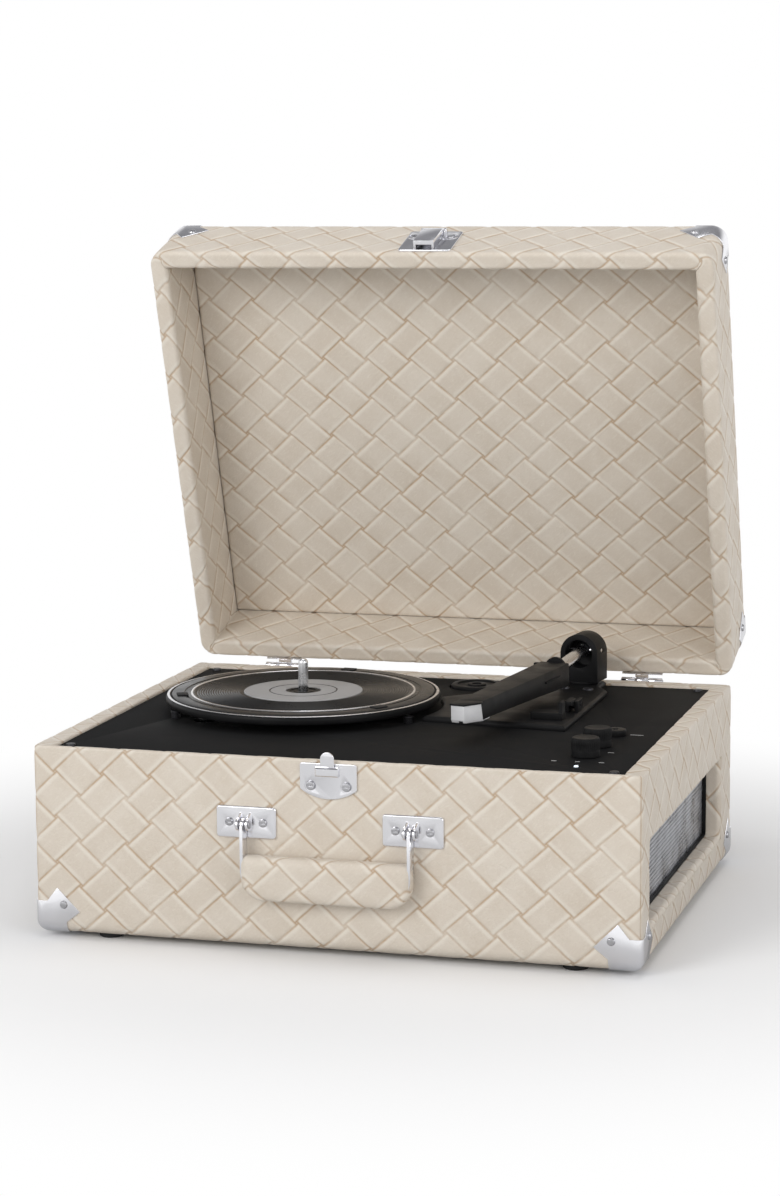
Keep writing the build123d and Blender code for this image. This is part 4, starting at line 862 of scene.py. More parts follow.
@dataclass
class Section:
    """The outline that a sheet follows from one edge to the other, seen cut through."""

    side: list[float] = field(default_factory=list)
    front: list[float] = field(default_factory=list)
    height: list[float] = field(default_factory=list)

    def to(self, side: float, height: float, front: float | None = None) -> "Section":
        """Goes straight to a point.

        Args:
            side: Its inset on the sides and back.
            height: Its height.
            front: Its inset on the front, where that differs.

        Returns:
            This section.
        """
        self.side.append(side)
        self.front.append(side if front is None else front)
        self.height.append(height)
        return self

    def round(self, centre: tuple[float, float], radius: float, start: float, end: float,
              front: float | None = None, steps: int = 5) -> "Section":
        """Goes round an arc.

        Args:
            centre: The arc's middle, as inset and height.
            radius: Its radius.
            start: Its first angle, in degrees.
            end: Its last angle, in degrees.
            front: The middle's inset on the front, where that differs.
            steps: How many chords stand for it.

        Returns:
            This section.
        """
        for step in range(steps + 1):
            angle = math.radians(start + (end - start) * step / steps)
            reach = radius * math.cos(angle)
            height = centre[1] + radius * math.sin(angle)
            self.to(centre[0] + reach, height, None if front is None else front + reach)
        return self

    def lengths(self) -> np.ndarray:
        """Gives the distance along the section at each point."""
        steps = np.hypot(np.diff(self.side), np.diff(self.height))
        return np.concatenate([[0.0], np.cumsum(np.maximum(steps, 1e-6))])

    def mapper(self, ring: Ring) -> Mapper:
        """Gives the function that lays a flat sheet round a ring on this section.

        Args:
            ring: The outline in plan.

        Returns:
            A function from flat distances to points and outward normals.
        """
        lengths = self.lengths()

        def lay(along: np.ndarray, up: np.ndarray) -> tuple[np.ndarray, np.ndarray]:
            side = np.interp(up, lengths, self.side)
            front = np.interp(up, lengths, self.front)
            height = np.interp(up, lengths, self.height)
            ahead, behind = np.minimum(up + 0.6, lengths[-1]), np.maximum(up - 0.6, 0.0)
            inwards = np.interp(ahead, lengths, self.side) - np.interp(behind, lengths, self.side)
            upwards = np.interp(ahead, lengths, self.height) - np.interp(behind, lengths, self.height)
            size = np.hypot(inwards, upwards) + 1e-9
            spot, out = ring.points(along, side, front)
            normals = np.column_stack([out * (upwards / size)[:, None], inwards / size])
            return np.column_stack([spot, height]), normals

        return lay


@dataclass
class CaseWrap:
    """The woven covering of the lower case, with its two speaker openings."""

    half_width: float = 208.0
    half_depth: float = 165.0
    height: float = 128.5
    wall: float = 13.5
    front_wall: float = 4.8
    corner: float = 3.5
    bottom_round: float = 8.0
    rim_round: float = 1.6
    flange: float = 35.3
    turned_in: float = 5.4
    opening_middle: tuple[float, float] = (-9.0, 52.5)
    opening_size: tuple[float, float] = (258.0, 55.0)
    opening_corner: float = 4.0
    phase: tuple[float, float] = (23.4, 12.46)
    lip: float = 3.5
    reveal_depth: float = 12.6
    seam_inset: float = -2.7

    def build(self) -> None:
        """Makes the wrap and turns it into the speaker openings."""
        ring = Ring(self.half_width, self.half_depth, self.corner, 0.8)
        top, soft = self.height, self.rim_round
        section = Section().to(self.flange, 0.0)
        section.round((self.bottom_round, self.bottom_round), self.bottom_round, 270, 180)
        wall_start = section.lengths()[-1]
        section.round((soft, top - soft), soft, 180, 90)
        section.round((self.wall - soft, top - soft), soft, 90, 0, self.front_wall - soft)
        section.to(self.wall, top - self.turned_in, self.front_wall)
        breaks = ring.breaks()
        low_y = self.opening_middle[0] - self.opening_size[0] / 2
        low_z = self.opening_middle[1] - self.opening_size[1] / 2
        low_up = wall_start + low_z - self.bottom_round
        straight = self.half_depth - self.corner
        turn = self.lip
        right = breaks[6] + (low_y + straight - turn) * ring.stretch
        left = breaks[2] + (straight - low_y - self.opening_size[0] - turn) * ring.stretch
        length = (self.opening_size[0] + 2 * turn) * ring.stretch
        windows = [(start, start + length, low_up - turn, low_up + self.opening_size[1] + turn)
                   for start in (left, right)]
        seams = [breaks[4] + self.seam_inset, breaks[5] - self.seam_inset]
        sheet = WovenSheet("case_wrap", (0.0, breaks[-1]), (0.0, section.lengths()[-1]), section.mapper(ring),
                           Place.CASE, ring.folds(3), list(section.lengths()[1:-1]), windows, joined=True,
                           phase=self.phase, seams=seams)
        sheet.build("case", ["base_case"])
        for label, sign in (("left", -1), ("right", 1)):
            self.reveal(label, sign)
            self.strip(label, sign)

    def facing(self, sign: int) -> np.ndarray:
        """Gives the turn from an opening drawn lying down to its place in a side wall.

        Args:
            sign: -1 for the left wall and 1 for the right.

        Returns:
            A 3 by 3 matrix whose rows give X, Y and Z.
        """
        return np.array([[0.0, 0.0, sign], [sign, 0.0, 0.0], [0.0, 1.0, 0.0]])

    def reveal(self, label: str, sign: int) -> None:
        """Turns the woven covering into a speaker opening, over a soft edge.

        Args:
            label: Which side it is on.
            sign: -1 for the left wall and 1 for the right.
        """
        ring = Ring(self.opening_size[0] / 2, self.opening_size[1] / 2, self.opening_corner, 1.0)
        soft = self.lip
        section = Section().to(-2 * soft, -1.1).to(-soft, -0.45)
        section.round((-soft, -soft - 0.15), soft, 90, 0, steps=6)
        section.to(0.0, -self.reveal_depth)
        lay = section.mapper(ring)
        turn = self.facing(sign)
        middle = np.array([sign * self.half_width, *self.opening_middle])

        def stand(along: np.ndarray, up: np.ndarray) -> tuple[np.ndarray, np.ndarray]:
            points, normals = lay(along, up)
            return points @ turn.T + middle, normals @ turn.T

        lengths = section.lengths()
        sheet = WovenSheet(label + "_speaker_reveal", (0.0, ring.breaks()[-1]), (0.0, lengths[-1]), stand,
                           Place.CASE, ring.folds(4), list(lengths[1:-1]), joined=True, thickness=0.6)
        sheet.build("case")

    def strip(self, label: str, sign: int) -> None:
        """Makes the black strip between the covering and the grille.

        Args:
            label: Which side it is on.
            sign: -1 for the left wall and 1 for the right.
        """
        half_y, half_z = self.opening_size[0] / 2, self.opening_size[1] / 2
        points = []
        for depth in (self.reveal_depth - 2.2, self.reveal_depth + 0.4):
            for grow in (0.8, -1.3):
                for sy, sz in ((-1, -1), (1, -1), (1, 1), (-1, 1)):
                    points.append((sign * (self.half_width - depth), self.opening_middle[0] + sy * (half_y + grow),
                                   self.opening_middle[1] + sz * (half_z + grow)))
        faces = []
        for k in range(4):
            n = (k + 1) % 4
            faces += [(k, n, 4 + n, 4 + k), (8 + k, 12 + k, 12 + n, 8 + n),
                      (4 + k, 4 + n, 12 + n, 12 + k), (k, 8 + k, 8 + n, n)]
        mesh = drawn_mesh(label + "_strip", np.array(points), faces, Place.CASE)
        shape = bmesh.new()
        shape.from_mesh(mesh)
        bmesh.ops.recalc_face_normals(shape, faces=shape.faces)
        bmesh.ops.bevel(shape, geom=shape.edges[:], offset=0.35 * MM, segments=2, affect="EDGES")
        shape.to_mesh(mesh)
        shape.free()
        piece_from(label + "_speaker_strip", mesh, "case", "black_plastic")


@dataclass
class LidWrap:
    """The woven covering of the lid, outside and in, with its lining board."""

    half_width: float = 208.0
    half_depth: float = 165.0
    low: float = 128.75
    top: float = 191.0
    wall: float = 12.9
    corner: float = 11.0
    top_round: float = 6.0
    rim_round: float = 3.0
    skin: float = 7.0
    lining: float = 2.0
    lining_gap: float = 0.4
    sheet_lap: float = 0.6

    def build(self) -> None:
        """Makes the lid's walls, its top sheet and the lining board."""
        ring = Ring(self.half_width, self.half_depth, self.corner, 1.2)
        soft, low = self.rim_round, self.low
        section = Section().to(self.wall, self.top - self.skin)
        section.round((self.wall - soft, low + soft), soft, 0, -90)
        section.round((soft, low + soft), soft, -90, -180)
        section.round((self.top_round, self.top - self.top_round), self.top_round, 180, 90)
        section.to(self.top_round + self.sheet_lap, self.top)
        lengths = section.lengths()
        walls = WovenSheet("lid_wrap", (0.0, ring.breaks()[-1]), (0.0, lengths[-1]), section.mapper(ring),
                           Place.LID, ring.folds(5), list(lengths[1:-1]), joined=True)
        walls.build("lid", ["lid_case"])
        self.flat_sheet("lid_top_sheet", self.top_round, self.top, 1.0, 4.0, 1.6).build("lid")
        self.flat_sheet("lid_lining", self.wall + self.lining_gap, self.top - self.skin - self.lining, -1.0, 0.6,
                        self.lining - 0.2).build("lid", ["lid_lining_panel"])

    def flat_sheet(self, name: str, inset: float, height: float, facing: float, clipped: float,
                   thickness: float) -> WovenSheet:
        """Gives a flat woven sheet in the plane of the lid's top.

        Args:
            name: The piece's name.
            inset: How far its edges lie inside the lid's outline.
            height: The height of its outer face.
            facing: 1 to face up and -1 to face down.
            clipped: Length cut off each corner.
            thickness: Its thickness.

        Returns:
            The sheet.
        """
        edge_fall, edge_soft = 1.3, 2.4
        half_width, half_depth = self.half_width - inset, self.half_depth - inset

        def lay(along: np.ndarray, up: np.ndarray) -> tuple[np.ndarray, np.ndarray]:
            gap = np.minimum(half_width - np.abs(along), half_depth - np.abs(up))
            fall = edge_fall * (1 - np.clip(gap / edge_soft, 0, 1)) ** 2 if facing < 0 else 0.0 * gap
            spot = np.column_stack([along, facing * up, height - facing * fall])
            return spot, np.tile((0.0, 0.0, facing), (len(along), 1))

        folds = [0.4, 0.9, 1.5, edge_soft] if facing < 0 else []
        return WovenSheet(name, (-half_width, half_width), (-half_depth, half_depth), lay, Place.LID,
                          [s * (half_width - f) for f in folds for s in (-1, 1)],
                          [s * (half_depth - f) for f in folds for s in (-1, 1)],
                          clipped_corner=clipped, thickness=thickness)


@dataclass
class Grip:
    """The padded, woven-covered grip of the handle."""

    half_length: float = 58.5
    top: float = 64.0
    bottom: float = 34.0
    thickness: float = 13.6
    middle_y: float = -172.5
    top_round: float = 5.0
    low_round: float = 16.5
    end_soft: float = 5.5
    squareness: float = 0.55
    columns: int = 150
    rows: int = 84

    def outline(self, x: float) -> tuple[float, float]:
        """Gives the grip's lowest and highest point at one place along it.

        Args:
            x: The place along the grip.

        Returns:
            Lowest and highest height.
        """
        reach = self.half_length - abs(x)
        rises = [math.sqrt(max(0.0, bend**2 - max(0.0, bend - reach) ** 2))
                 for bend in (self.low_round, self.top_round)]
        return self.bottom + self.low_round - rises[0], self.top - self.top_round + rises[1]

    def build(self) -> None:
        """Makes the grip."""
        points = []
        for column in range(self.columns + 1):
            share = column / self.columns * 2 - 1
            x = self.half_length * math.sin(share * math.pi / 2) * 0.6 + self.half_length * share * 0.4
            low, high = self.outline(x)
            reach = self.half_length - abs(x)
            squeeze = math.sqrt(max(0.0, 1 - max(0.0, 1 - reach / self.end_soft) ** 2))
            half_height, middle_z = (high - low) / 2, (high + low) / 2
            half_thick = self.thickness / 2 * (0.25 + 0.75 * squeeze)
            for row in range(self.rows):
                angle = 2 * math.pi * row / self.rows
                c, s = math.cos(angle), math.sin(angle)
                y = math.copysign(abs(c) ** self.squareness, c) * half_thick
                z = math.copysign(abs(s) ** self.squareness, s) * half_height
                points.append((x, y, middle_z + z))
        array = np.array(points).reshape(self.columns + 1, self.rows, 3)
        around = np.concatenate([np.zeros((self.columns + 1, 1)),
                                 np.cumsum(np.linalg.norm(np.diff(array[:, :, 1:], axis=1), axis=2), axis=1)], 1)
        crown = around - around[:, self.rows // 4][:, None]
        first, second = WEAVE.units(array[:, :, 0].ravel(), -crown.ravel() + 8.0)
        body = array.reshape(-1, 3)
        outward = body - np.array([0.0, 0.0, (self.top + self.bottom) / 2])
        outward[:, 0] = body[:, 0] - body[:, 0] * 0.92
        outward[:, 2] *= self.thickness / (self.top - self.bottom)
        outward /= np.linalg.norm(outward, axis=1)[:, None] + 1e-9
        body = body - outward * (WEAVE.drop(first, second) * 0.8)[:, None]
        body[:, 1] += self.middle_y
        faces = []
        for column in range(self.columns):
            for row in range(self.rows):
                after = (row + 1) % self.rows
                a, b = column * self.rows + row, column * self.rows + after
                faces.append((a, b, b + self.rows, a + self.rows))
        faces.append(tuple(reversed(range(self.rows))))
        faces.append(tuple(self.columns * self.rows + k for k in range(self.rows)))
        mesh = drawn_mesh("grip", body, faces, Place.CASE)
        layer = mesh.uv_layers.new(name="weave")
        for loop, spot in zip(mesh.loops, layer.data):
            spot.uv = (first[loop.vertex_index], second[loop.vertex_index])
        piece = piece_from("grip_cover", mended(mesh), "handle", "wrap", ["handle_grip"], sharp_angle=60.0)


# ------------------------------------------------------------------------------------------ speaker grilles
@dataclass
class Grille:
    """Perforated steel behind the speaker openings, grown by Geometry Nodes."""

    middle_y: float = -9.0
    middle_z: float = 52.5
    length: float = 266.0
    height: float = 63.0
    pitch: float = 3.4
    hole: float = 0.66
    sheet: float = 0.8
    face_x: float = 194.45

    def cell(self) -> bpy.types.Object:
        """Makes one six-sided cell with its hole, lying flat and one unit across the flats."""
        outer, inner = 1 / math.sqrt(3), self.hole / math.sqrt(3)
        points = [(r * math.cos(math.radians(60 * k + 30)), r * math.sin(math.radians(60 * k + 30)), 0.0)
                  for r in (outer, inner) for k in range(6)]
        faces = [(k, (k + 1) % 6, 6 + (k + 1) % 6, 6 + k) for k in range(6)]
        mesh = bpy.data.meshes.new("grille_cell")
        mesh.from_pydata(points, [], faces)
        return bpy.data.objects.new("grille_cell", mesh)

    def tree(self) -> bpy.types.NodeTree:
        """Builds the Geometry Nodes tree that lays out the cells and gives them thickness."""
        tree = bpy.data.node_groups.new("Perforated sheet", "GeometryNodeTree")
        for label, kind in (("Geometry", "NodeSocketGeometry"), ("Cell", "NodeSocketObject"),
                            ("Pitch", "NodeSocketFloat"), ("Columns", "NodeSocketInt"), ("Rows", "NodeSocketInt"),
                            ("Sheet", "NodeSocketFloat"), ("Material", "NodeSocketMaterial")):
            tree.interface.new_socket(name=label, in_out="INPUT", socket_type=kind)
        tree.interface.new_socket(name="Geometry", in_out="OUTPUT", socket_type="NodeSocketGeometry")
        graph = Graph(tree)
        start, end = tree.nodes.new("NodeGroupInput"), tree.nodes.new("NodeGroupOutput")
        pitch = start.outputs["Pitch"]
        rise = graph.math("MULTIPLY", pitch, math.sqrt(3) / 2)
        width = graph.math("MULTIPLY", graph.math("SUBTRACT", start.outputs["Columns"], 1.0), pitch)
        height = graph.math("MULTIPLY", graph.math("SUBTRACT", start.outputs["Rows"], 1.0), rise)
        grid = graph.node("GeometryNodeMeshGrid", {"Size X": width, "Size Y": height,
                                                   "Vertices X": start.outputs["Columns"],
                                                   "Vertices Y": start.outputs["Rows"]})
        index = graph.node("GeometryNodeInputIndex")
        row = graph.math("FLOORED_MODULO", index.outputs[0], start.outputs["Rows"])
        odd = graph.math("FLOORED_MODULO", row, 2.0)
        shift = graph.math("MULTIPLY", graph.math("SUBTRACT", odd, 0.5), graph.math("MULTIPLY", pitch, 0.5))
        offset = graph.node("ShaderNodeCombineXYZ", {0: shift})
        moved = graph.node("GeometryNodeSetPosition", {"Geometry": grid.outputs[0], "Offset": offset.outputs[0]})
        cell = graph.node("GeometryNodeObjectInfo", {"Object": start.outputs["Cell"]})
        dotted = graph.node("GeometryNodeInstanceOnPoints", {"Points": moved.outputs[0],
                                                             "Instance": cell.outputs["Geometry"],
                                                             "Scale": pitch})
        plain = graph.node("GeometryNodeRealizeInstances", {0: dotted.outputs[0]})
        joined = graph.node("GeometryNodeMergeByDistance", {"Geometry": plain.outputs[0], "Distance": 0.02 * MM})
        raised = graph.node("GeometryNodeExtrudeMesh", {"Mesh": joined.outputs[0],
                                                        "Offset Scale": start.outputs["Sheet"], "Individual": False})
        under = graph.node("GeometryNodeFlipFaces", {0: joined.outputs[0]})
        both = graph.node("GeometryNodeJoinGeometry")
        for part in (raised, under):
            graph.fill(both, {0: part.outputs[0]})
        closed = graph.node("GeometryNodeMergeByDistance", {"Geometry": both.outputs[0], "Distance": 0.01 * MM})
        whole = graph.node("GeometryNodeRealizeInstances", {0: closed.outputs[0]})
        dressed = graph.node("GeometryNodeSetMaterial", {"Geometry": whole.outputs[0],
                                                         "Material": start.outputs["Material"]})
        graph.fill(end, {0: dressed.outputs[0]})
        return tree

    def build(self) -> None:
        """Makes the two grilles and fixes them behind the openings."""
        tree, cell = self.tree(), self.cell()
        values = {"Cell": cell, "Pitch": self.pitch * MM, "Columns": round(self.length / self.pitch),
                  "Rows": round(self.height / (self.pitch * math.sqrt(3) / 2)), "Sheet": self.sheet * MM,
                  "Material": FINISHES["grille_metal"].material()}
        for label, sign in (("left", -1), ("right", 1)):
            draft = placed(label + "_grille_draft", bpy.data.meshes.new("empty"))
            grown = draft.modifiers.new("perforation", "NODES")
            grown.node_group = tree
            for item in tree.interface.items_tree:
                if item.item_type == "SOCKET" and item.in_out == "INPUT" and item.name in values:
                    grown[item.identifier] = values[item.name]
            mesh = baked(draft)
            stand = Matrix(((0, 0, sign, 0), (sign, 0, 0, 0), (0, 1, 0, 0), (0, 0, 0, 1)))
            mesh.transform(stand)
            spot = Vector((sign * (self.face_x - self.sheet), self.middle_y, self.middle_z)) * MM
            mesh.transform(Matrix.Translation(CASE_ORIGIN + spot))
            piece_from(label + "_grille", mesh, "case", "grille_metal", ["speaker_grilles"] if sign > 0 else [],
                       sharp_angle=30.0)
        bpy.data.objects.remove(cell)


# ------------------------------------------------------------------------------------------ platter
@dataclass
class Platter:
    """The platter with its ribbed mat, bright rings and grey centre plate."""

    middle: tuple[float, float] = (-74.5, 13.5)
    radius: float = 98.0
    low: float = 133.0
    top: float = 138.0
    mat_top: float = 139.5
    steps: int = 160

    def build(self) -> None:
        """Makes the platter, its mat and its plate."""
        self.dish()
        self.mat()
        self.plate()

    def dish(self) -> None:
        """Makes the metal dish with its rounded rim and a bright band on it."""
        r, low, top = self.radius, self.low, self.top
        profile = [(3.0, top), (94.2, top), (94.6, top + 0.5), (95.2, top + 0.9), (96.3, top + 1.0),
                   (97.0, top + 0.7), (97.5, top), (97.9, top - 0.9), (r, top - 1.8), (r, low + 1.2),
                   (r - 0.4, low + 0.5), (r - 1.0, low), (r - 6, low), (r - 6, top - 2.6), (56.0, top - 2.6),
                   (56.0, 129.6), (53.0, 129.6), (53.0, top - 2.6), (12.0, top - 2.6), (12.0, 129.0), (3.0, 129.0),
                   (3.0, top)]
        mesh = revolved("platter_dish", profile, self.middle, self.steps, Place.CASE)
        piece_from("platter_dish", mesh, "platter", "black_plastic", ["platter"])
        self.band(mesh, PLATTER_EDGE, 95.0, 97.2, top)

    def mat(self) -> None:
        """Makes the mat with its ribs and its bright inner ring."""
        top = self.mat_top
        profile = [(42.6, self.top + 0.05), (42.6, top - 0.7), (43.4, top - 0.2)]
        radius, pitch = 45.0, 1.72
        for _ in range(18):
            profile += [(radius, top - 0.5), (radius + 0.45, top - 0.12), (radius + 0.8, top),
                        (radius + 1.2, top - 0.12), (radius + 1.6, top - 0.5)]
            radius += pitch
        profile += [(77.4, top), (78.6, top), (78.9, top + 0.35), (79.9, top + 0.35), (80.2, top), (83.0, top),
                    (83.4, top - 0.5), (84.6, top - 0.5), (85.0, top), (92.6, top), (93.6, top - 0.5),
                    (93.9, self.top + 0.05), (42.6, self.top + 0.05)]
        mesh = revolved("mat", profile, self.middle, self.steps, Place.CASE)
        piece_from("ribbed_mat", mesh, "platter", "rubber", ["platter_mat"], GROOVED_RUBBER)
        self.band(mesh, PLATTER_EDGE, 78.65, 80.1, top)

    def plate(self) -> None:
        """Makes the grey centre plate with a fine dark ring and a dark hub."""
        top = self.mat_top + 0.2
        profile = [(12.6, top - 0.7), (12.8, top), (23.4, top), (23.7, top - 0.35), (24.2, top - 0.35), (24.5, top),
                   (42.0, top), (42.4, top - 0.3), (42.4, self.top + 0.1), (12.6, self.top + 0.1), (12.6, top - 0.7)]
        mesh = revolved("plate", profile, self.middle, 128, Place.CASE)
        piece_from("grey_plate", mesh, "platter", "silver_plastic", ["centre_plate"], LABEL_GREY)
        self.band(mesh, GROOVED_RUBBER, 23.5, 24.4, top - 0.6)
        hub_profile = [(3.65, top - 1.0), (3.65, top - 0.5), (7.0, top - 0.5), (7.4, top - 0.9), (9.4, top - 0.9),
                       (9.9, top - 0.3), (12.0, top - 0.3), (12.3, top - 0.6), (12.3, self.top + 0.1),
                       (3.65, self.top + 0.1), (3.65, top - 1.0)]
        hub_mesh = revolved("hub", hub_profile, self.middle, 64, Place.CASE)
        piece_from("hub_cup", hub_mesh, "platter", "black_plastic")

    def band(self, mesh: bpy.types.Mesh, finish: Finish, inner: float, outer: float, above: float) -> None:
        """Gives the faces of a ring-shaped band another finish.

        Args:
            mesh: The piece's mesh.
            finish: The band's finish.
            inner: Its inner radius.
            outer: Its outer radius.
            above: Height that its faces lie above.
        """
        mesh.materials.append(finish.material())
        hub = Place.CASE.matrix() @ Vector((*self.middle, above))
        for face in mesh.polygons:
            if inner < (face.center.xy - hub.xy).length / MM < outer and face.center.z > hub.z:
                face.material_index = 1


# ------------------------------------------------------------------------------------------ knobs and ticks
@dataclass
class Knob:
    """A black knob with fine ribs round its upper edge."""

    node: str
    middle: tuple[float, float]
    radius: float = 9.7
    low: float = 127.1
    height: float = 12.3
    ribs: int = 48
    rib_depth: float = 0.24

    def build(self) -> None:
        """Makes the knob in place of the frame's plain one."""
        r, low, top = self.radius, self.low, self.low + self.height
        ribbed = (6, 7, 8)

        def ripple(angle: float, index: int) -> float:
            return self.rib_depth * math.cos(angle * self.ribs) if index in ribbed else 0.0

        profile = [(0.0, top - 0.25), (5.5, top - 0.25), (6.6, top - 0.1), (7.3, top), (r - 1.4, top),
                   (r - 0.9, top - 0.25), (r - 0.62, top - 0.9), (r - 0.42, top - 4.0), (r - 0.4, top - 7.5),
                   (r - 0.25, top - 8.2), (r - 0.1, low + 1.0), (r - 0.1, low), (2.9, low), (2.9, low - 9.0),
                   (0.0, low - 9.0)]
        mesh = revolved(self.node, profile, self.middle, self.ribs * 4, Place.CASE, ripple)
        piece_from(self.node + "_ribbed", mesh, NODE_BODY[self.node], "black_plastic", [self.node],
                   sharp_angle=40.0)


@dataclass
class Arm:
    """The tonearm's wand, with the cartridge in its nose and a collar round the tube."""

    rear: float = -57.0
    nose: float = -231.8
    cut: float = -217.0
    low: float = 141.7
    high: float = 154.7
    plate: float = 1.3

    def build(self) -> None:
        """Makes the wand with its nose plate and small parts, and the cartridge."""
        shell = self.sections([(self.rear, 10.3, 10.8, 154.6, 138.6), (self.rear - 2.0, 10.8, 11.1, 155.1, 138.3),
                               (-127.0, 9.9, 10.4, 155.0, 140.5), (-206.0, 8.6, 10.2, self.high, 142.6),
                               (self.cut, 8.5, 10.2, self.high, 142.4)])
        self.moulding("wand_shell", shell, 0.7, ["arm_wand"])
        top = self.high
        outline = [(-8.9, self.cut + 2), (-8.9, self.nose + 1.0), (1.8, self.nose), (8.9, self.nose + 12.6),
                   (8.9, self.cut + 2)]
        plate = [[(x, y, z) for x, y in outline] for z in (top - self.plate, top)]
        self.moulding("wand_nose_plate", plate, 0.35)
        for name, low, high, edge in (("wand_side_rib", (10.2, -104.0, 147.6), (11.7, -76.0, 149.0), 0.4),
                                      ("wand_rear_tab", (-15.0, -62.5, 151.4), (-9.5, -58.5, 154.4), 0.6)):
            corners = [(low[0], low[1]), (high[0], low[1]), (high[0], high[1]), (low[0], high[1])]
            self.moulding(name, [[(x, y, z) for x, y in corners] for z in (low[2], high[2])], edge)
        self.cartridge()
        self.collar()

    def moulding(self, name: str, rings: Sequence[Sequence[tuple[float, float, float]]], edge: float,
                 replaces: Sequence[str] = ()) -> None:
        """Makes one black moulding of the arm.

        Args:
            name: The piece's name.
            rings: The rings of points that it is lofted through.
            edge: Width of its rounded edges.
            replaces: The frame's nodes that it stands for.
        """
        piece_from(name, lofted(name, rings, Place.ARM, edge), "tonearm", "black_plastic", replaces)

    def sections(self, stations: Sequence[tuple[float, float, float, float, float]]
                 ) -> list[list[tuple[float, float, float]]]:
        """Gives four-cornered rings across the wand.

        Args:
            stations: Place along the arm, half widths at the top and bottom, and top and bottom heights.

        Returns:
            The rings.
        """
        return [[(-below, y, low), (-above, y, high), (above, y, high), (below, y, low)]
                for y, above, below, high, low in stations]

    def cartridge(self) -> None:
        """Makes the pale cartridge, whose blunt nose has a narrow and a wide face."""
        top, low, nose = self.high - self.plate + 0.05, self.low, self.nose
        upper = [(-8.2, -205.0), (-8.2, nose + 1.6), (1.6, nose + 0.6), (8.2, nose + 12.6), (8.2, -205.0)]
        middle = [(-8.2, -205.0), (-8.2, nose + 1.8), (1.7, nose + 0.8), (9.4, nose + 14.0), (9.4, -205.0)]
        lower = [(-7.8, -205.0), (-7.8, nose + 2.6), (1.8, nose + 1.6), (9.6, nose + 14.6), (9.6, -205.0)]
        rings = [[(x, y, z) for x, y in outline] for outline, z in ((upper, top), (middle, low + 2.0), (lower, low))]
        piece_from("cartridge_block", lofted("cartridge", rings, Place.ARM, 0.4), "tonearm", "silver_plastic",
                   ["cartridge"], sharp_angle=20.0)
        notch = [(-2.2, nose + 0.9), (0.6, nose + 0.9), (0.6, nose + 5.6), (-2.2, nose + 5.6)]
        self.moulding("cartridge_notch", [[(x, y, z) for x, y in notch] for z in (low - 0.12, low + 1.5)], 0.2)

    def collar(self) -> None:
        """Makes the black collar where the tube goes into the wand."""
        steps, axis = 40, 151.0
        outline = [(4.5, self.rear - 1.0), (7.6, self.rear - 1.0), (7.6, self.rear + 1.6), (7.0, self.rear + 2.6),
                   (6.4, self.rear + 3.0), (4.7, self.rear + 3.0)]
        rings = [[(radius * math.cos(2 * math.pi * k / steps), y, axis + radius * math.sin(2 * math.pi * k / steps))
                  for k in range(steps)] for radius, y in outline]
        self.moulding("wand_collar", rings, 0.0)


@dataclass
class DeckPrint:
    """Plain ticks beside the knobs, with no lettering."""

    top: float = 126.5
    rise: float = 0.06

    def build(self) -> None:
        """Makes the ticks as thin flat bars on the deck."""
        bars = [(140.3, -121.3, 3.4, 0.8), (155.9, -120.7, 3.4, 0.8), (171.7, -120.0, 3.4, 0.8),
                (171.0, -87.4, 4.2, 0.8), (176.0, -26.0, 9.0, 0.7), (158.4, -131.5, 1.2, 1.2)]
        points, faces = [], []
        for x, y, width, depth in bars:
            start = len(points)
            for z in (self.top, self.top + self.rise):
                for sx, sy in ((-1, -1), (1, -1), (1, 1), (-1, 1)):
                    points.append((x + sx * width / 2, y + sy * depth / 2, z))
            faces += [tuple(start + k for k in f) for f in
                      ((3, 2, 1, 0), (4, 5, 6, 7), (0, 1, 5, 4), (1, 2, 6, 5), (2, 3, 7, 6), (3, 0, 4, 7))]
        mesh = drawn_mesh("ticks", np.array(points), faces, Place.CASE)
        piece_from("deck_ticks", mesh, "case", "black_deck", finish=PRINT_WHITE)


# ------------------------------------------------------------------------------------------ stage
@dataclass(frozen=True)
class Lamp:
    """A soft square light: its name, place, side in metres and power in watts."""

    name: str
    spot: tuple[float, float, float]
    size: float
    power: float


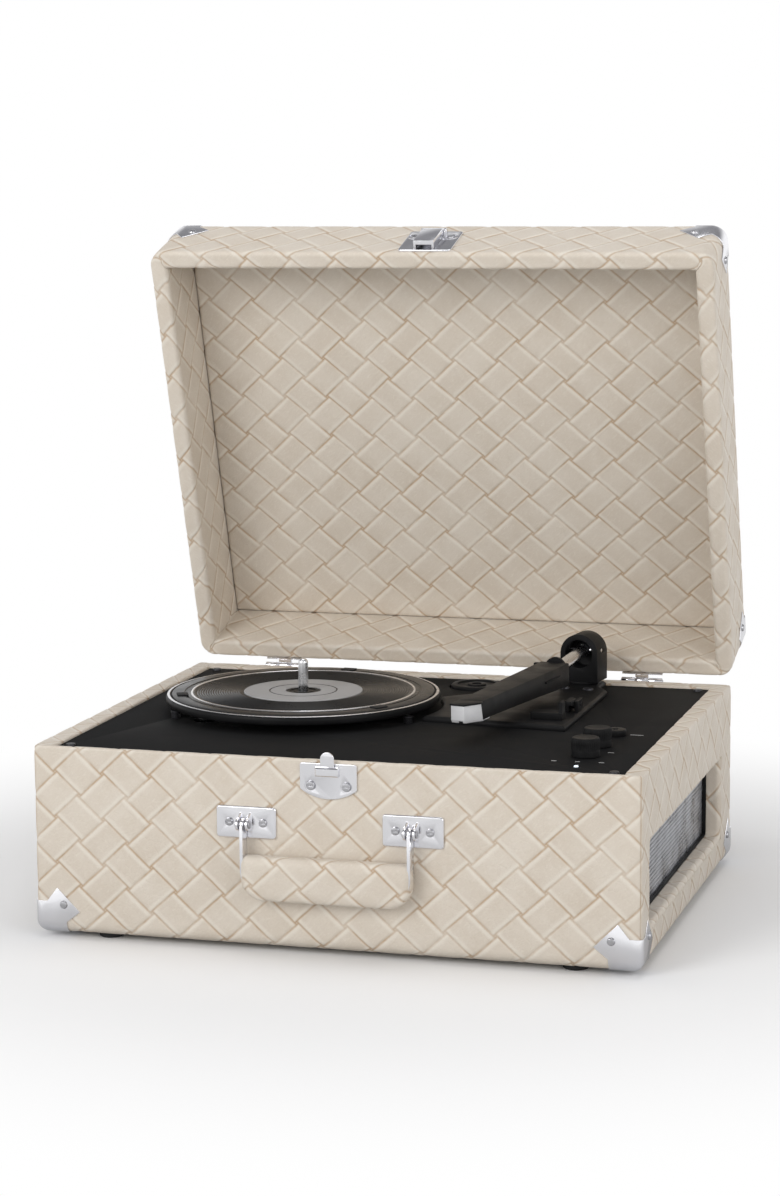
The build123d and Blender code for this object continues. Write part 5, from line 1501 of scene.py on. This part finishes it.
@dataclass(frozen=True)
class Stage:
    """The floor, the lights and the camera."""

    eye: tuple[float, float, float] = (0.57242, -2.00292, 0.53286)
    yaw: float = 0.28424808
    pitch: float = 0.15325109
    roll: float = -0.00872426
    lens: float = 89.67
    aim: tuple[float, float, float] = (0.0, -0.03, 0.2)
    lamps: tuple[Lamp, ...] = (Lamp("key", (-1.3, -2.5, 1.5), 1.4, 32.0), Lamp("fill", (2.2, -1.6, 1.2), 1.6, 14.5),
                               Lamp("top", (0.2, 0.2, 2.6), 1.8, 20.0))

    def build(self) -> None:
        """Makes all three."""
        self.camera()
        self.floor()
        self.lights()

    def camera(self) -> None:
        """Places the camera."""
        data = bpy.data.cameras.new("camera")
        data.lens = self.lens
        data.sensor_width = 36.0
        data.sensor_fit = "AUTO"
        camera = placed("camera", data)
        bpy.context.scene.camera = camera
        forward = Vector((0, math.cos(self.pitch), -math.sin(self.pitch)))
        up = Vector((0, math.sin(self.pitch), math.cos(self.pitch)))
        right = Vector((1, 0, 0))
        turned_right = right * math.cos(self.roll) + up * math.sin(self.roll)
        turned_up = -right * math.sin(self.roll) + up * math.cos(self.roll)
        axes = Matrix((turned_right, turned_up, -forward)).transposed()
        turn = Matrix.Rotation(self.yaw, 3, "Z") @ axes
        camera.matrix_world = Matrix.Translation(self.eye) @ turn.to_4x4()

    def floor(self) -> None:
        """Makes the pale floor, which fades into the backdrop with distance."""
        steps, reach = 64, 9.0
        points = [(0.0, 0.0, 0.0)] + [(reach * math.cos(2 * math.pi * k / steps),
                                       reach * math.sin(2 * math.pi * k / steps), 0.0) for k in range(steps)]
        faces = [(0, k + 1, (k + 1) % steps + 1) for k in range(steps)]
        mesh = bpy.data.meshes.new("floor")
        mesh.from_pydata(points, [], faces)
        made, graph, shader = new_material("pale_floor")
        seen = graph.node("ShaderNodeLightPath").outputs["Is Camera Ray"]
        tone = graph.mix(seen, (0.6, 0.6, 0.6, 1.0), (0.95, 0.95, 0.95, 1.0))
        graph.fill(shader, {"Base Color": tone, "Roughness": 0.8, "Specular IOR Level": 0.1})
        place = graph.node("ShaderNodeTexCoord")
        length = graph.node("ShaderNodeVectorMath", {0: place.outputs["Object"]}, operation="LENGTH")
        strength = graph.math("MULTIPLY_ADD", seen, 0.25, 0.75)
        glow = graph.node("ShaderNodeEmission", {"Color": (1.0, 1.0, 1.0, 1.0), "Strength": strength})
        far = graph.ramp(length.outputs["Value"], 0.24, 0.62)
        blend = graph.node("ShaderNodeMixShader", {0: far, 1: shader.outputs[0], 2: glow.outputs[0]})
        graph.fill(made.node_tree.nodes["Material Output"], {"Surface": blend.outputs[0]})
        mesh.materials.append(made)
        placed("floor", mesh)

    def lights(self) -> None:
        """Places the soft lights and the pale surroundings, which the camera sees as plain white."""
        bpy.context.scene.view_settings.view_transform = "Standard"
        world = bpy.data.worlds.new("surroundings")
        bpy.context.scene.world = world
        world.use_nodes = True
        graph = Graph(world.node_tree)
        around = world.node_tree.nodes["Background"]
        heading = graph.node("ShaderNodeTexCoord").outputs["Generated"]
        height = graph.node("ShaderNodeSeparateXYZ", {0: heading}).outputs[2]
        sky = graph.mix(graph.ramp(height, -0.5, 0.0), (0.38, 0.38, 0.39, 1.0), (1.0, 1.0, 1.0, 1.0))
        sky = graph.mix(graph.ramp(height, 0.22, 0.64), sky, (0.25, 0.25, 0.26, 1.0))
        graph.fill(around, {"Color": sky, "Strength": 1.0})
        seen = graph.node("ShaderNodeBackground", {"Color": (1.0, 1.0, 1.0, 1.0), "Strength": 1.0})
        path = graph.node("ShaderNodeLightPath")
        both = graph.node("ShaderNodeMixShader", {0: path.outputs["Is Camera Ray"], 1: around.outputs[0],
                                                  2: seen.outputs[0]})
        graph.fill(world.node_tree.nodes["World Output"], {"Surface": both.outputs[0]})
        for lamp in self.lamps:
            data = bpy.data.lights.new(lamp.name, "AREA")
            data.size = lamp.size
            data.energy = lamp.power
            light = placed(lamp.name, data)
            light.location = lamp.spot
            light.rotation_mode = "QUATERNION"
            light.rotation_quaternion = (Vector(self.aim) - Vector(lamp.spot)).to_track_quat("-Z", "Y")


REFINED = {
    "base_corners": 0.3, "lid_corners": 0.3, "catch_plate": 0.3, "catch_tongue": 0.25, "handle_brackets": 0.2,
    "handle_strap": 0.3, "latch_plate": 0.3, "latch_hasp": 0.3, "hinge_base_leaves": 0.2, "hinge_lid_leaves": 0.2,
    "hinge_pins": 0.15, "base_corner_rivets": 0.25, "lid_rivets": 0.25, "front_screws": 0.15, "rear_screws": 0.15,
    "hinge_lid_screws": 0.15, "handle_pins": 0.2, "deck_screws": 0.15, "foot_screws": 0.15, "transit_screws": 0.2,
    "transit_springs": 0.1, "deck_panel": 0.3, "arm_base_plate": 0.4, "arm_pivot_post": 0.3, "arm_rest": 0.3,
    "arm_housing": 0.5, "headphone_jack": 0.3, "rear_jack_plate": 0.3, "adapter_45": 0.2,
    "lift_lever": 0.3, "arm_tube": 0.2, "arm_axle": 0.1, "spindle": 0.2, "motor_pulley": 0.2,
    "feet": 0.4, "platter_pads": 0.3, "rear_sockets": 0.15, "power_inlet": 0.15, "stylus": 0.05, "pilot_lamp": 0.15,
    "base_bottom_panel": 0.3,
}


def dress_hidden_nodes() -> None:
    """Gives every frame node that still shows its slot's finish."""
    for name, node in frame["nodes"].items():
        if node.hide_render:
            continue
        node.data.materials.clear()
        node.data.materials.append(FINISHES[NODE_SLOT[name]].material())


def main() -> None:
    """Builds every sub-assembly in order."""
    logging.basicConfig(level=logging.INFO, format="%(message)s")
    surface_wear_group()
    weave_group()
    Stage().build()
    CaseWrap().build()
    LidWrap().build()
    Grip().build()
    Grille().build()
    Platter().build()
    Knob("selector_knob", (157.3, -102.5)).build()
    Knob("volume_knob", (157.9, -68.5)).build()
    DeckPrint().build()
    Arm().build()
    for node, edge in REFINED.items():
        bare = NODE_SLOT[node] == "chrome" and node.rpartition("_")[2] in ("screws", "rivets", "pins")
        refine(node, edge, SCREW_STEEL if bare else None)
    dress_hidden_nodes()


if __name__ == "__main__":
    main()
